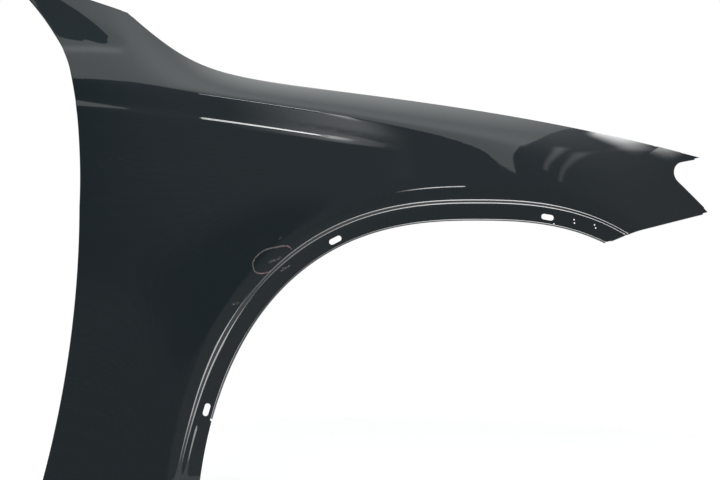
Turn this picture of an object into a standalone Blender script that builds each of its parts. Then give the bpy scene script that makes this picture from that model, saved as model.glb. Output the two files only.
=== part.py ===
"""Right-hand front fender of a family car, pressed from one steel sheet.

The panel is laid out as a press tool designer does it. One formula gives the height of the drawn
skin over its flat layout (x forward, z up), a trimmed outline bounds it, and return flanges are
folded along its edges. Lengths are in metres. The layout's zero is the wheel centre, x points to
the front of the car, y to the middle of the car, and z up. The finished part is moved so that its
origin is at the second bolt pad of the wing rail flange.
"""
import math

import bmesh
import bpy
import numpy as np
from mathutils import Vector
from mathutils.geometry import delaunay_2d_cdt

SHEET_THICKNESS = 0.0008

# Wheel arch edge, a superellipse that stands on its foot line
ARCH_CENTRE_X = 0.0116
ARCH_FOOT_Z = -0.2000
ARCH_HALF_WIDTH = 0.4570
ARCH_HEIGHT = 0.6213
ARCH_BLUNTNESS = 2.53

# Seat pressed round the arch for the trim moulding
TRIM_SEAT_WIDTH = 0.02875
TRIM_SEAT_DEPTH = 0.0040
TRIM_STEP_RUN = 0.0035
TRIM_STEP_FILLET = 0.0015
TRIM_SEAT_SPREAD = 0.055
TRIM_SPREAD_BELOW_Z = 0.100
SEAT_FOOT_STEP = 0.0012
SEAT_FOOT_STEP_INSET = 0.010

# Flare that carries the arch further out than the side of the car
FLARE_OUT = 0.012
FLARE_START = 0.056
FLARE_WIDTH = 0.040
FLARE_LIP_RADIUS = 0.008
FLARE_FADE_RADIUS = 0.060

# Side of the panel
WIDEST_Z = 0.380
SIDE_RADIUS = 4.0
NOSE_SLOPE = 0.70
NOSE_START = 0.170
NOSE_BLEND = 0.150

# Shoulder crease, and the deck above it that reaches the hood
SHOULDER_Z = 0.5572
SHOULDER_FALL = 0.1845
SHOULDER_BOW_RADIUS = 8.532
SHOULDER_RADIUS = 0.003
SHOULDER_FADE_X = 0.060
SHOULDER_FADE_RATE = 0.35
SHOULDER_FADE_BLEND = 0.100
HOOD_Z = 0.6049
HOOD_FALL = 0.1399
HOOD_BOW_RADIUS = 4.936
HOOD_INBOARD = 0.128
HOOD_TAPER = 0.35
HOOD_TAPER_X = 0.140
HOOD_TAPER_BLEND = 0.160
DECK_ROLL = 0.42

# The hood line climbs beside the windscreen
COWL_RISE = 1.00
COWL_RISE_X = -0.4669
COWL_RISE_BLEND = 0.0928

# Character line below the shoulder
CATCHER_DROP = 0.0435
CATCHER_STEP = 0.0032
CATCHER_RUN = 0.0050
CATCHER_FILLET = 0.0030
CATCHER_END_X = -0.150
CATCHER_FADE = 0.070

# Shallow finger-shaped dish at the foot of the windscreen pillar
DISH_DEPTH = 0.009
DISH_TIP_X = -0.5575
DISH_LOW_Z = 0.6945
DISH_LOW_RISE = -0.010
DISH_TIP_HEIGHT = 0.0235
DISH_TOP_RISE = 0.56
DISH_WALL = 0.011
DISH_RUN_OUT = 0.030
DISH_FILLET = 0.005

# Outline of the trimmed skin
SILL_Z = -0.0755
DOOR_EDGE_X = -0.6231
DOOR_STRAIGHT_Z = 0.4430
DOOR_LOWER_RADIUS = 1.5457
DOOR_UPPER = ((-0.6235, 0.5336), (-0.6312, 0.6139), (-0.6468, 0.6795), (-0.6774, 0.7319))
PILLAR_TIP = (-0.7600, 0.8255)
PILLAR_TIP_ROUND = 0.008
COWL_CORNER_X = -0.5660
NOTCH_TOP_X = 0.4095
NOTCH_VERTEX = (0.3318, 0.5180)
NOTCH_ROUND = 0.0217
NOSE_TIP = (0.4195, 0.4382)
BUMPER_BREAK = (0.2787, 0.4068)
BUMPER_REAR = (0.1900, 0.3739)
BUMPER_ROUND = 0.200

# Return flanges
EDGE_ROLL = 0.0025
CORNER_RELIEF = 0.010
ARCH_LIP_RELIEF = 0.002
ARCH_LIP_ROLL = 0.0030
ARCH_LIP_DEPTH = 0.013
ARCH_LIP_END_Z = 0.101
DOOR_RETURN = 0.014
DOOR_RETURN_LEAN = 0.10
COWL_RETURN = 0.009
COWL_RETURN_LEAN = (0.2, 0.5, -1.0)
NOTCH_RETURN = 0.008
BUMPER_RETURN = 0.018
HOOD_RETURN = 0.006
NOSE_RETURN_LEAN = -0.40

# Rail flange under the hood edge, with bolt pads
HOOD_WALL = 0.020
RAIL_FOLD = 0.003
RAIL_FLANGE = 0.034
RAIL_FLANGE_NARROW = 0.015
RAIL_START_X = -0.440
RAIL_END_X = 0.325
PAD_HALF = 0.017
PAD_BLEND = 0.012
PAD_COUNT = 4
PAD_REAR_GAP = 0.070
PAD_FRONT_GAP = 0.035
PAD_HOLE_RADIUS = 0.0045
PAD_HOLE_INBOARD = 0.014
MOUNT_BESIDE_HOLE = 0.011
ORIGIN_PAD = 1

# Sill flange and the tab bolted to the hinge pillar
SILL_FLANGE_EDGE_Y = 0.066
SILL_FLANGE_CUT = 0.008
SILL_HOLE_RADIUS = 0.0045
SILL_HOLE_Y = 0.050
SILL_HOLE_XS = (-0.640, -0.510)
TAB_HALF_HEIGHT = 0.020
TAB_REACH = 0.030
TAB_CORNER_CUT = 0.006
TAB_HOLE_RADIUS = 0.0045
TAB_HOLE_REACH = 0.016

# Clip slots and pilot holes in the trim seat, and slots for the bumper clips
SLOT_LENGTH = 0.021
SLOT_WIDTH = 0.009
SLOT_FROM_EDGE = 0.0125
SLOT_XS = (-0.4222, -0.2185, 0.1235)
PILOT_RADIUS = 0.0014
PILOTS = ((0.1681, 0.4232), (0.1688, 0.4177), (0.2037, 0.4149), (0.2056, 0.4099), (0.1340, 0.4160))
BUMPER_SLOT_LENGTH = 0.016
BUMPER_SLOT_WIDTH = 0.007
BUMPER_SLOT_COUNT = 3

# Fineness of the faceted sheet
EDGE_STEP = 0.024
ROW_STEP = 0.024
FILL_STEP = 0.032
FINE_STEP = 0.016
ROW_MARGIN = 0.004
FILL_MARGIN = 0.55
STEP_SLACK = 0.2
LINE_SAMPLES = 120
SAME_POINT = 1e-6

# Rows of facets across each pressed line, in shares of its width
SEAT_ROWS = (-0.4, 0.05, 0.5, 0.95, 1.5)
FLARE_ROWS = (-0.2, 0, 0.25, 0.7, 1.25)
SHOULDER_ROWS = (-2.0, -0.6, 0.6, 2.0)
CATCHER_ROWS = (-0.8, 0.1, 0.9, 1.8)
DECK_ROWS = (0.35, 0.65, 0.88)

PAINT_COLOUR = (0.012, 0.016, 0.022, 1.0)
PAINT_ROUGHNESS = 0.12
PAINT_METALLIC = 0.25


def clear_scene():
    for thing in list(bpy.data.objects):
        bpy.data.objects.remove(thing, do_unlink=True)


def bend(distance, radius):
    """A ramp of slope one that starts at zero distance and is rounded over the radius."""
    return (distance + np.sqrt(distance * distance + radius * radius)) / 2


def ramp(distance, width, radius):
    """Rises from 0 to 1 across the width, with both ends rounded."""
    return (bend(distance, radius) - bend(distance - width, radius)) / width


def arch_distance(x, z):
    """Distance outside the wheel arch edge."""
    across = np.abs(x - ARCH_CENTRE_X) / ARCH_HALF_WIDTH
    up = np.abs(z - ARCH_FOOT_Z) / ARCH_HEIGHT
    level = (across**ARCH_BLUNTNESS + up**ARCH_BLUNTNESS) ** (1 / ARCH_BLUNTNESS)
    power = ARCH_BLUNTNESS - 1
    slope = np.hypot(across**power / ARCH_HALF_WIDTH, up**power / ARCH_HEIGHT) / level**power
    return (level - 1) / slope


def seat_width(z):
    """Width of the trim seat, which spreads a little towards the foot of the arch."""
    return TRIM_SEAT_WIDTH + TRIM_SEAT_SPREAD * bend(TRIM_SPREAD_BELOW_Z - z, TRIM_SEAT_WIDTH)


def shoulder_z(x):
    return SHOULDER_Z - SHOULDER_FALL * x - x * x / (2 * SHOULDER_BOW_RADIUS)


def hood_z(x):
    climb = COWL_RISE * bend(COWL_RISE_X - x, COWL_RISE_BLEND)
    return HOOD_Z - HOOD_FALL * x - x * x / (2 * HOOD_BOW_RADIUS) + climb


def hood_y(x):
    return HOOD_INBOARD + HOOD_TAPER * bend(x - HOOD_TAPER_X, HOOD_TAPER_BLEND)


def side_y(x, z):
    """The side below the shoulder: crowned, narrowing to the nose, flared and stepped at the arch."""
    away = arch_distance(x, z)
    crown = (z - WIDEST_Z) ** 2 / (2 * SIDE_RADIUS)
    nose = NOSE_SLOPE * bend(x - NOSE_START, NOSE_BLEND)
    fall = bend(away - FLARE_START, FLARE_LIP_RADIUS)
    fall = fall - bend(away - FLARE_START - FLARE_WIDTH, FLARE_FADE_RADIUS)
    flare = FLARE_OUT * fall / FLARE_WIDTH
    seat = TRIM_SEAT_DEPTH * (1 - ramp(away - seat_width(z), TRIM_STEP_RUN, TRIM_STEP_FILLET))
    foot = 1 - ramp(z - ARCH_LIP_END_Z + CORNER_RELIEF, CORNER_RELIEF, TRIM_STEP_FILLET)
    foot = foot * (x < ARCH_CENTRE_X)
    inner = 1 - ramp(away - seat_width(z) + SEAT_FOOT_STEP_INSET, TRIM_STEP_FILLET, TRIM_STEP_FILLET)
    return crown + nose + flare + seat + SEAT_FOOT_STEP * foot * inner


def catcher_y(x, z):
    """The character line: a narrow ledge that faces up and fades out over the front wheel."""
    ledge = ramp(z - shoulder_z(x) + CATCHER_DROP, CATCHER_RUN, CATCHER_FILLET)
    present = 1 - ramp(x - CATCHER_END_X + CATCHER_FADE, CATCHER_FADE, CATCHER_FADE / 3)
    return CATCHER_STEP * ledge * present


def dish_y(x, z):
    """The dish: steep along its lower side and its tip, running out flush along its upper side."""
    above = z - DISH_LOW_Z - DISH_LOW_RISE * (DISH_TIP_X - x)
    behind = DISH_TIP_X - x
    top = DISH_LOW_Z + DISH_TIP_HEIGHT + DISH_TOP_RISE * behind
    below = (top - z) / math.hypot(1, DISH_TOP_RISE)
    wall = ramp(above, DISH_WALL, DISH_FILLET) * ramp(behind, DISH_WALL, DISH_FILLET)
    return DISH_DEPTH * wall * ramp(below, DISH_RUN_OUT, DISH_FILLET)


def panel_y(x, z):
    """Depth of the outer skin over the flat layout."""
    side = side_y(x, z) + catcher_y(x, z)
    crease = shoulder_z(x)
    radius = SHOULDER_RADIUS + SHOULDER_FADE_RATE * bend(x - SHOULDER_FADE_X, SHOULDER_FADE_BLEND)
    share = bend(z - crease, radius) / bend(hood_z(x) - crease, radius)
    rise = (1 - DECK_ROLL) * share + DECK_ROLL * share * share
    return side + (hood_y(x) - side) * rise + dish_y(x, z)


def panel_point(flat):
    """Lifts layout points (x, z) on to the skin."""
    x, z = flat[:, 0], flat[:, 1]
    return np.column_stack((x, panel_y(x, z), z))


def lengths_along(line):
    steps = np.linalg.norm(np.diff(line, axis=0), axis=1)
    return np.concatenate(([0.0], np.cumsum(steps)))


def pick_along(line, where):
    along = lengths_along(line)
    return np.column_stack([np.interp(where, along, line[:, k]) for k in range(line.shape[1])])


def even(line, step, end_gap=0.0, stops=()):
    """The same line with even points, one at the gap from each end and one at each stop."""
    total = lengths_along(line)[-1]
    stops = [stop for stop in stops if end_gap < stop < total - end_gap]
    knots = [end_gap] + sorted(stops) + [total - end_gap]
    where = [0.0] if end_gap else []
    for start, end in zip(knots, knots[1:]):
        count = max(1, math.ceil((end - start) / step - STEP_SLACK))
        where.extend(np.linspace(start, end, count, endpoint=False))
    where.append(knots[-1])
    if end_gap:
        where.append(total)
    return pick_along(line, np.array(where))


def reach_stop(line, axis, value):
    """How far along a line one of its coordinates reaches a value."""
    order = np.argsort(line[:, axis])
    return float(np.interp(value, line[order, axis], lengths_along(line)[order]))


def smooth(points, samples=16):
    """A curve through a few points, with tangents from each point's neighbours."""
    points = np.array(points, float)
    steps = np.linalg.norm(np.diff(points, axis=0), axis=1)[:, None]
    chords = np.diff(points, axis=0) / steps
    middle = (chords[:-1] * steps[1:] + chords[1:] * steps[:-1]) / (steps[1:] + steps[:-1])
    tangents = np.vstack((2 * chords[:1] - middle[:1], middle, 2 * chords[-1:] - middle[-1:]))
    t = np.linspace(0, 1, samples, endpoint=False)[:, None]
    spans = []
    for start, end, leave, arrive, size in zip(points, points[1:], tangents, tangents[1:], steps):
        spans.append(start * (1 + 2 * t) * (1 - t) ** 2 + end * t * t * (3 - 2 * t)
                     + size * (leave * t * (1 - t) ** 2 - arrive * t * t * (1 - t)))
    return np.vstack(spans + [points[-1:]])


def filleted(points, radii, samples=8):
    """A polyline whose inner corners are rounded to the given radii."""
    points = np.array(points, float)
    line = [points[0]]
    for before, corner, after, radius in zip(points, points[1:], points[2:], radii):
        back = (before - corner) / np.linalg.norm(before - corner)
        on = (after - corner) / np.linalg.norm(after - corner)
        half = math.acos(float(np.clip(back @ on, -1, 1))) / 2
        centre = corner + (back + on) / np.linalg.norm(back + on) * radius / math.sin(half)
        first = corner + back * radius / math.tan(half) - centre
        last = corner + on * radius / math.tan(half) - centre
        sweep = math.pi - 2 * half
        for share in np.linspace(0, 1, samples):
            line.append(centre + (first * math.sin((1 - share) * sweep)
                                  + last * math.sin(share * sweep)) / math.sin(sweep))
    return np.array(line + [points[-1]])


def arch_line(offset, along_seat=False):
    """The arch edge moved outwards, from its rear foot over the top to its front foot."""
    angle = np.linspace(math.pi, 0, 2 * LINE_SAMPLES)
    power = 2 / ARCH_BLUNTNESS
    across = np.sign(np.cos(angle)) * np.abs(np.cos(angle)) ** power
    up = np.abs(np.sin(angle)) ** power
    x = ARCH_CENTRE_X + ARCH_HALF_WIDTH * across
    z = ARCH_FOOT_Z + ARCH_HEIGHT * up
    away_x = np.sign(across) * np.abs(across) ** (ARCH_BLUNTNESS - 1) / ARCH_HALF_WIDTH
    away_z = up ** (ARCH_BLUNTNESS - 1) / ARCH_HEIGHT
    size = np.hypot(away_x, away_z)
    for _ in range(4):
        wanted = offset + seat_width(z) if along_seat else offset
        missing = wanted - arch_distance(x, z)
        x = x + missing * away_x / size
        z = z + missing * away_z / size
    return np.column_stack((x, z))


def keep_run(line, signed):
    """The longest stretch of a line where a signed measure is positive, cut exactly at zero."""
    value = signed(line)
    best, run = [], []
    for index in range(len(line)):
        if index and (value[index] > 0) != (value[index - 1] > 0):
            share = value[index - 1] / (value[index - 1] - value[index])
            crossing = line[index - 1] + share * (line[index] - line[index - 1])
            run.append(crossing)
        if value[index] > 0:
            run.append(line[index])
        elif run:
            best, run = max(best, run, key=len), []
    return np.array(max(best, run, key=len))


def bumper_line():
    return filleted((BUMPER_REAR, BUMPER_BREAK, NOSE_TIP), (BUMPER_ROUND,))


def above_bumper(points):
    line = bumper_line()
    return points[:, 1] - np.interp(points[:, 0], line[:, 0], line[:, 1])


def door_line():
    """The door edge, from the sill up to the tip beside the windscreen pillar."""
    z = np.linspace(SILL_Z, DOOR_STRAIGHT_Z, LINE_SAMPLES)
    lower = np.column_stack((DOOR_EDGE_X - (DOOR_STRAIGHT_Z - z) ** 2 / (2 * DOOR_LOWER_RADIUS), z))
    upper = smooth(((DOOR_EDGE_X, DOOR_STRAIGHT_Z),) + DOOR_UPPER + (PILLAR_TIP,))
    return np.vstack((lower[:-1], upper))


def pad_centres():
    return np.linspace(RAIL_START_X + PAD_REAR_GAP, RAIL_END_X - PAD_FRONT_GAP, PAD_COUNT)


def hood_stops():
    """Where points must stand on the hood edge: at the ends of the rail flange and its pads."""
    stops = [RAIL_START_X - CORNER_RELIEF, RAIL_START_X, RAIL_END_X, RAIL_END_X + CORNER_RELIEF]
    for centre in pad_centres():
        for reach in (PAD_HALF, PAD_HALF + PAD_BLEND):
            stops += [centre - reach, centre + reach]
    return stops


def outline_lines():
    """The edges of the skin, each from corner to corner, in order round the panel."""
    foot_top = ARCH_LIP_END_Z
    lip_bottom = ARCH_LIP_END_Z + ARCH_LIP_ROLL
    foot = keep_run(arch_line(0), lambda p: np.where(
        p[:, 0] < ARCH_CENTRE_X, np.minimum(p[:, 1] - SILL_Z, foot_top - p[:, 1]), -1))
    lip = keep_run(arch_line(ARCH_LIP_ROLL), lambda p: np.where(
        p[:, 0] < ARCH_CENTRE_X, p[:, 1] - lip_bottom, above_bumper(p)))
    bumper = bumper_line()
    bumper = np.vstack((lip[-1:], bumper[bumper[:, 0] > lip[-1, 0] + CORNER_RELIEF / 2]))
    notch_top = (NOTCH_TOP_X, float(hood_z(NOTCH_TOP_X)))
    notch = filleted((NOSE_TIP, NOTCH_VERTEX, notch_top), (NOTCH_ROUND,))
    hood_x = np.linspace(NOTCH_TOP_X, COWL_CORNER_X, LINE_SAMPLES)
    hood = np.column_stack((hood_x, hood_z(hood_x)))
    door = door_line()[::-1]
    tip = filleted((hood[-1], PILLAR_TIP, DOOR_UPPER[-1]), (PILLAR_TIP_ROUND,))
    door = np.vstack((tip[-2], door[door[:, 1] < tip[-2, 1] - PILLAR_TIP_ROUND]))
    sill = np.array((door[-1], foot[0]))
    hood_marks = [reach_stop(hood, 0, x) for x in hood_stops()]
    tab_marks = [reach_stop(door, 1, DOOR_STRAIGHT_Z + side * TAB_HALF_HEIGHT) for side in (-1, 1)]
    return {
        "sill": even(sill, EDGE_STEP, CORNER_RELIEF),
        "foot": even(foot, EDGE_STEP, CORNER_RELIEF),
        "lip": even(lip, EDGE_STEP, ARCH_LIP_RELIEF),
        "bumper": even(bumper, EDGE_STEP, CORNER_RELIEF),
        "notch": even(notch, EDGE_STEP / 2, CORNER_RELIEF),
        "hood": even(hood, EDGE_STEP, CORNER_RELIEF, hood_marks),
        "cowl": even(tip[:2], EDGE_STEP, CORNER_RELIEF),
        "tip": tip[1:-1],
        "door": even(door, EDGE_STEP, CORNER_RELIEF, tab_marks),
    }


def joined_loop(lines):
    """One closed loop of all the edges, without the points that neighbours share."""
    loop = []
    for line in lines.values():
        for point in line:
            if not loop or np.linalg.norm(point - loop[-1]) > SAME_POINT:
                loop.append(point)
    if np.linalg.norm(loop[0] - loop[-1]) < SAME_POINT:
        loop.pop()
    return np.array(loop)


def inside(points, loop):
    """Which points lie inside a closed loop, by counting the edges to their right."""
    x, z = points[:, 0:1], points[:, 1:2]
    ax, az = loop[:, 0], loop[:, 1]
    bx, bz = np.roll(ax, -1), np.roll(az, -1)
    drop = np.where(bz == az, 1.0, bz - az)
    crossing = ((az > z) != (bz > z)) & (x < ax + (z - az) * (bx - ax) / drop)
    return crossing.sum(axis=1) % 2 == 1


def clearance(points, loop):
    """Distance of each point to a closed loop, negative outside it."""
    start, edge = loop, np.roll(loop, -1, axis=0) - loop
    to_point = points[:, None, :] - start[None, :, :]
    share = (to_point * edge).sum(axis=2) / (edge * edge).sum(axis=1)
    gap = to_point - np.clip(share, 0, 1)[:, :, None] * edge
    nearest = np.sqrt((gap * gap).sum(axis=2).min(axis=1))
    return np.where(inside(points, loop), nearest, -nearest)


def spread(loop, step, taken, near):
    """Staggered points that fill a loop, none of them near the points already taken."""
    low, high = loop.min(axis=0), loop.max(axis=0)
    points = []
    for row, z in enumerate(np.arange(low[1], high[1], step * math.sqrt(3) / 2)):
        xs = np.arange(low[0] + (row % 2) * step / 2, high[0], step)
        points.append(np.column_stack((xs, np.full(len(xs), z))))
    points = np.vstack(points)
    points = points[clearance(points, loop) > near]
    gaps = np.sqrt(((points[:, None, :] - taken[None, :, :]) ** 2).sum(axis=2)).min(axis=1)
    return points[gaps > near]


def stadium(centre, along, length, width, samples=5):
    """A slot's outline with round ends."""
    along = np.array(along, float) / np.linalg.norm(along)
    across = np.array((-along[1], along[0]))
    radius, reach = width / 2, (length - width) / 2
    points = []
    for side in (1, -1):
        for angle in np.linspace(-math.pi / 2, math.pi / 2, samples):
            points.append(np.array(centre) + side * (
                along * (reach + radius * math.cos(angle)) + across * radius * math.sin(angle)))
    return np.array(points)


def circle(centre, radius, sides=10):
    angle = np.arange(sides) * 2 * math.pi / sides
    return np.column_stack((centre[0] + radius * np.cos(angle), centre[1] + radius * np.sin(angle)))


class Sheet:
    """Gathers the faces of one thin sheet; faces that share an edge are joined at the end."""

    def __init__(self):
        self.points = []
        self.faces = []

    def add_points(self, points):
        first = len(self.points)
        self.points.extend(tuple(float(v) for v in point) for point in points)
        return first

    def add_rows(self, rows):
        """Joins neighbouring rows of points with quads."""
        rows = [np.asarray(row) for row in rows]
        width = len(rows[0])
        first = self.add_points(np.vstack(rows))
        for r in range(len(rows) - 1):
            for k in range(width - 1):
                a = first + r * width + k
                self.faces.append((a, a + 1, a + width + 1, a + width))

    def add_patch(self, loop, holes, lines, points, place):
        """Fills a flat loop with triangles round its holes and along its lines, then places it."""
        flat = [loop] + list(holes) + list(lines) + [points]
        edges = []
        start = 0
        for index, part in enumerate(flat[:-1]):
            closed = index <= len(holes)
            count = len(part)
            for k in range(count if closed else count - 1):
                edges.append((start + k, start + (k + 1) % count))
            start += count
        flat = np.vstack([part for part in flat if len(part)])
        result = delaunay_2d_cdt([Vector(p) for p in flat], edges, [], 0, SAME_POINT)
        corners = np.array([tuple(v) for v in result[0]])
        faces = np.array(result[2])
        middle = corners[faces].mean(axis=1)
        wanted = inside(middle, loop)
        for hole in holes:
            wanted &= ~inside(middle, hole)
        first = self.add_points(place(corners))
        self.faces.extend(tuple(int(first + k) for k in face) for face in faces[wanted])


def skin_rows(loop):
    """Rows of points along the pressed lines, so that the facets follow the form."""
    rows = []
    for share in SEAT_ROWS:
        rows.append(arch_line(share * TRIM_STEP_RUN, along_seat=True))
    for share in FLARE_ROWS:
        rows.append(arch_line(FLARE_START + share * FLARE_WIDTH))
    x = np.linspace(DOOR_EDGE_X - ROW_STEP, NOTCH_TOP_X, LINE_SAMPLES)
    for share in SHOULDER_ROWS:
        rows.append(np.column_stack((x, shoulder_z(x) + share * SHOULDER_RADIUS)))
    reach = x[x < CATCHER_END_X]
    for share in CATCHER_ROWS:
        z = shoulder_z(reach) - CATCHER_DROP + share * CATCHER_RUN
        rows.append(np.column_stack((reach, z)))
    deck = x[x > COWL_CORNER_X]
    for share in DECK_ROWS:
        z = shoulder_z(deck) + share * (hood_z(deck) - shoulder_z(deck))
        rows.append(np.column_stack((deck, z)))
    kept = [keep_run(row, lambda p: clearance(p, loop) - ROW_MARGIN) for row in rows]
    return [even(row, ROW_STEP) for row in kept if len(row) > 2]


def skin_holes():
    """Clip slots in line with the arch, and small pilot holes."""
    middle = arch_line(SLOT_FROM_EDGE)
    middle = middle[middle[:, 1] > ARCH_FOOT_Z + ARCH_HEIGHT / 3]
    holes = []
    for x in SLOT_XS:
        index = int(np.argmin(np.abs(middle[:, 0] - x)))
        along = middle[index + 1] - middle[index - 1]
        holes.append(stadium(middle[index], along, SLOT_LENGTH, SLOT_WIDTH))
    holes += [circle(place, PILOT_RADIUS, 6) for place in PILOTS]
    return holes


def edge_directions(line):
    """At each point of an edge, the direction that leaves the panel along its surface."""
    travel = np.gradient(line, axis=0)
    travel = travel / np.linalg.norm(travel, axis=1)[:, None]
    out = np.column_stack((travel[:, 1], -travel[:, 0]))
    small = 1e-4
    lift = panel_y(line[:, 0] + out[:, 0] * small, line[:, 1] + out[:, 1] * small)
    lift = lift - panel_y(line[:, 0] - out[:, 0] * small, line[:, 1] - out[:, 1] * small)
    leaving = np.column_stack((out[:, 0], lift / (2 * small), out[:, 1]))
    return leaving / np.linalg.norm(leaving, axis=1)[:, None]


def rolled_rows(points, leaving, folded, roll, depth, steps=3):
    """Rows of a rolled edge that turns from the skin into a flange of the given depth."""
    rows = [points]
    for k in range(1, steps + 1):
        angle = math.pi / 2 * k / steps
        rows.append(points + roll * (leaving * math.sin(angle) + folded * (1 - math.cos(angle))))
    rows.append(points + roll * leaving + folded * (roll + depth))
    return rows


def unit(x, y, z):
    return np.array((x, y, z)) / math.sqrt(x * x + y * y + z * z)


def short_of_corners(line):
    """An edge without its corner points, where the flanges stop to leave a relief gap."""
    return line[1:-1]


def add_return(sheet, chain, folded, roll, depth):
    """A plain return flange along a chain of edge points."""
    rows = rolled_rows(panel_point(chain), edge_directions(chain), folded, roll, depth)
    sheet.add_rows(rows)
    return rows[-1]


def add_pierced(sheet, row, direction, depths, holes):
    """A flange with holes that runs on from a row of points in one direction."""
    along = lengths_along(row)
    depths = np.broadcast_to(depths, along.shape)
    near = np.column_stack((along, np.zeros(len(along))))
    far = np.column_stack((along, depths))
    loop = np.vstack((near, far[::-1]))

    def place(flat):
        return pick_along(row, flat[:, 0]) + flat[:, 1:2] * direction

    sheet.add_patch(loop, holes, [], np.empty((0, 2)), place)


def add_bumper_flange(sheet, line):
    """The bumper edge's return, with a row of slots for the bumper's clips."""
    folded = unit(NOSE_RETURN_LEAN, 1, 0)
    row = add_return(sheet, line, folded, EDGE_ROLL, BUMPER_SLOT_WIDTH / 4)
    length = lengths_along(row)[-1]
    holes = []
    for k in range(BUMPER_SLOT_COUNT):
        place = (length * (k + 0.5) / BUMPER_SLOT_COUNT, BUMPER_RETURN / 2)
        holes.append(stadium(place, (1, 0), BUMPER_SLOT_LENGTH, BUMPER_SLOT_WIDTH))
    add_pierced(sheet, row, folded, BUMPER_RETURN, holes)


def add_door_flange(sheet, line):
    """The door edge's return, and the tab on it that is bolted to the hinge pillar."""
    folded = unit(DOOR_RETURN_LEAN, 1, 0)
    row = add_return(sheet, line, folded, EDGE_ROLL, DOOR_RETURN)
    near = np.abs(row[:, 2] - DOOR_STRAIGHT_Z) < TAB_HALF_HEIGHT + EDGE_ROLL
    root = row[near]
    depths = np.full(len(root), TAB_REACH)
    depths[[0, -1]] -= TAB_CORNER_CUT
    middle = (lengths_along(root)[-1] / 2, TAB_HOLE_REACH)
    add_pierced(sheet, root, folded, depths, [circle(middle, TAB_HOLE_RADIUS)])


def add_sill_flange(sheet, line):
    """The flat flange at the foot, bolted up to the sill."""
    points = panel_point(line)
    rows = rolled_rows(points, edge_directions(line), unit(0, 1, 0), EDGE_ROLL, 0)[:-1]
    rows[-1][:, 2] = SILL_Z - EDGE_ROLL
    sheet.add_rows(rows)
    near = rows[-1][:, :2]
    far = np.array(((near[-1, 0] - SILL_FLANGE_CUT, SILL_FLANGE_EDGE_Y),
                    (near[0, 0] + SILL_FLANGE_CUT, SILL_FLANGE_EDGE_Y)))
    holes = [circle((x, SILL_HOLE_Y), SILL_HOLE_RADIUS) for x in SILL_HOLE_XS]

    def place(flat):
        return np.column_stack((flat, np.full(len(flat), SILL_Z - EDGE_ROLL)))

    sheet.add_patch(np.vstack((near, far)), holes, [], np.empty((0, 2)), place)


def rail_z(x):
    """Height of the rail flange: it follows the hood line, and lies level at each bolt pad."""
    z = hood_z(x) - HOOD_WALL
    for centre in pad_centres():
        level = 1 - np.clip((np.abs(x - centre) - PAD_HALF) / PAD_BLEND, 0, 1)
        z = z + level * (hood_z(centre) - HOOD_WALL - z)
    return z


def rail_point(flat):
    """A point of the rail flange from its place along x and its distance from the wall."""
    x, inboard = flat[:, 0], flat[:, 1]
    return np.column_stack((x, hood_y(x) + EDGE_ROLL + RAIL_FOLD + inboard, rail_z(x)))


def add_rail_flange(sheet, line):
    """The wall that drops from the hood edge and the flange bolted to the wing rail."""
    on_rail = (line[:, 0] < RAIL_END_X + ROW_MARGIN) & (line[:, 0] > RAIL_START_X - ROW_MARGIN)
    chain = line[on_rail]
    x = chain[:, 0]
    down = unit(0, 0, -1)
    leaving = edge_directions(line)[on_rail]
    rows = rolled_rows(panel_point(chain), leaving, down, EDGE_ROLL, 0)[:-1]
    for angle in np.radians((0, 45, 90)):
        y = hood_y(x) + EDGE_ROLL + RAIL_FOLD * (1 - math.cos(angle))
        rows.append(np.column_stack((x, y, rail_z(x) + RAIL_FOLD * (1 - math.sin(angle)))))
    sheet.add_rows(rows)
    depths = np.full(len(x), RAIL_FLANGE_NARROW)
    for centre in pad_centres():
        depths[np.abs(x - centre) < PAD_HALF + PAD_BLEND / 2] = RAIL_FLANGE
    near = np.column_stack((x, np.zeros(len(x))))
    far = np.column_stack((x, depths))
    ribs = [np.array((a, b)) for a, b in zip(near[1:-1], far[1:-1])]
    holes = [circle((centre, PAD_HOLE_INBOARD), PAD_HOLE_RADIUS) for centre in pad_centres()]
    sheet.add_patch(np.vstack((near, far[::-1])), holes, ribs, np.empty((0, 2)), rail_point)


def add_hood_returns(sheet, line):
    """Short returns on the hood edge before and behind the rail flange."""
    x = line[:, 0]
    down = unit(0, 0, -1)
    tip = line[(x > RAIL_END_X + ROW_MARGIN) & (x < NOTCH_VERTEX[0] + 2 * NOTCH_ROUND)]
    add_return(sheet, tip, down, EDGE_ROLL, HOOD_RETURN)
    cowl = line[x < RAIL_START_X - ROW_MARGIN]
    add_return(sheet, cowl, down, EDGE_ROLL, HOOD_RETURN)


def add_skin(sheet, lines):
    """The drawn outer skin, with closer facets beside the windscreen pillar."""
    loop = joined_loop(lines)
    holes = skin_holes()
    rows = skin_rows(loop)
    taken = np.vstack(rows + holes)
    fill = spread(loop, FILL_STEP, taken, FILL_STEP * FILL_MARGIN)
    fill = fill[~beside_pillar(fill)]
    fine = spread(loop, FINE_STEP, np.vstack((taken, fill)), FINE_STEP * FILL_MARGIN)
    fine = fine[beside_pillar(fine)]
    sheet.add_patch(loop, holes, rows, np.vstack((fill, fine)), panel_point)


def beside_pillar(points):
    return (points[:, 0] < COWL_CORNER_X + FILL_STEP) & (points[:, 1] > shoulder_z(points[:, 0]))


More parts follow.
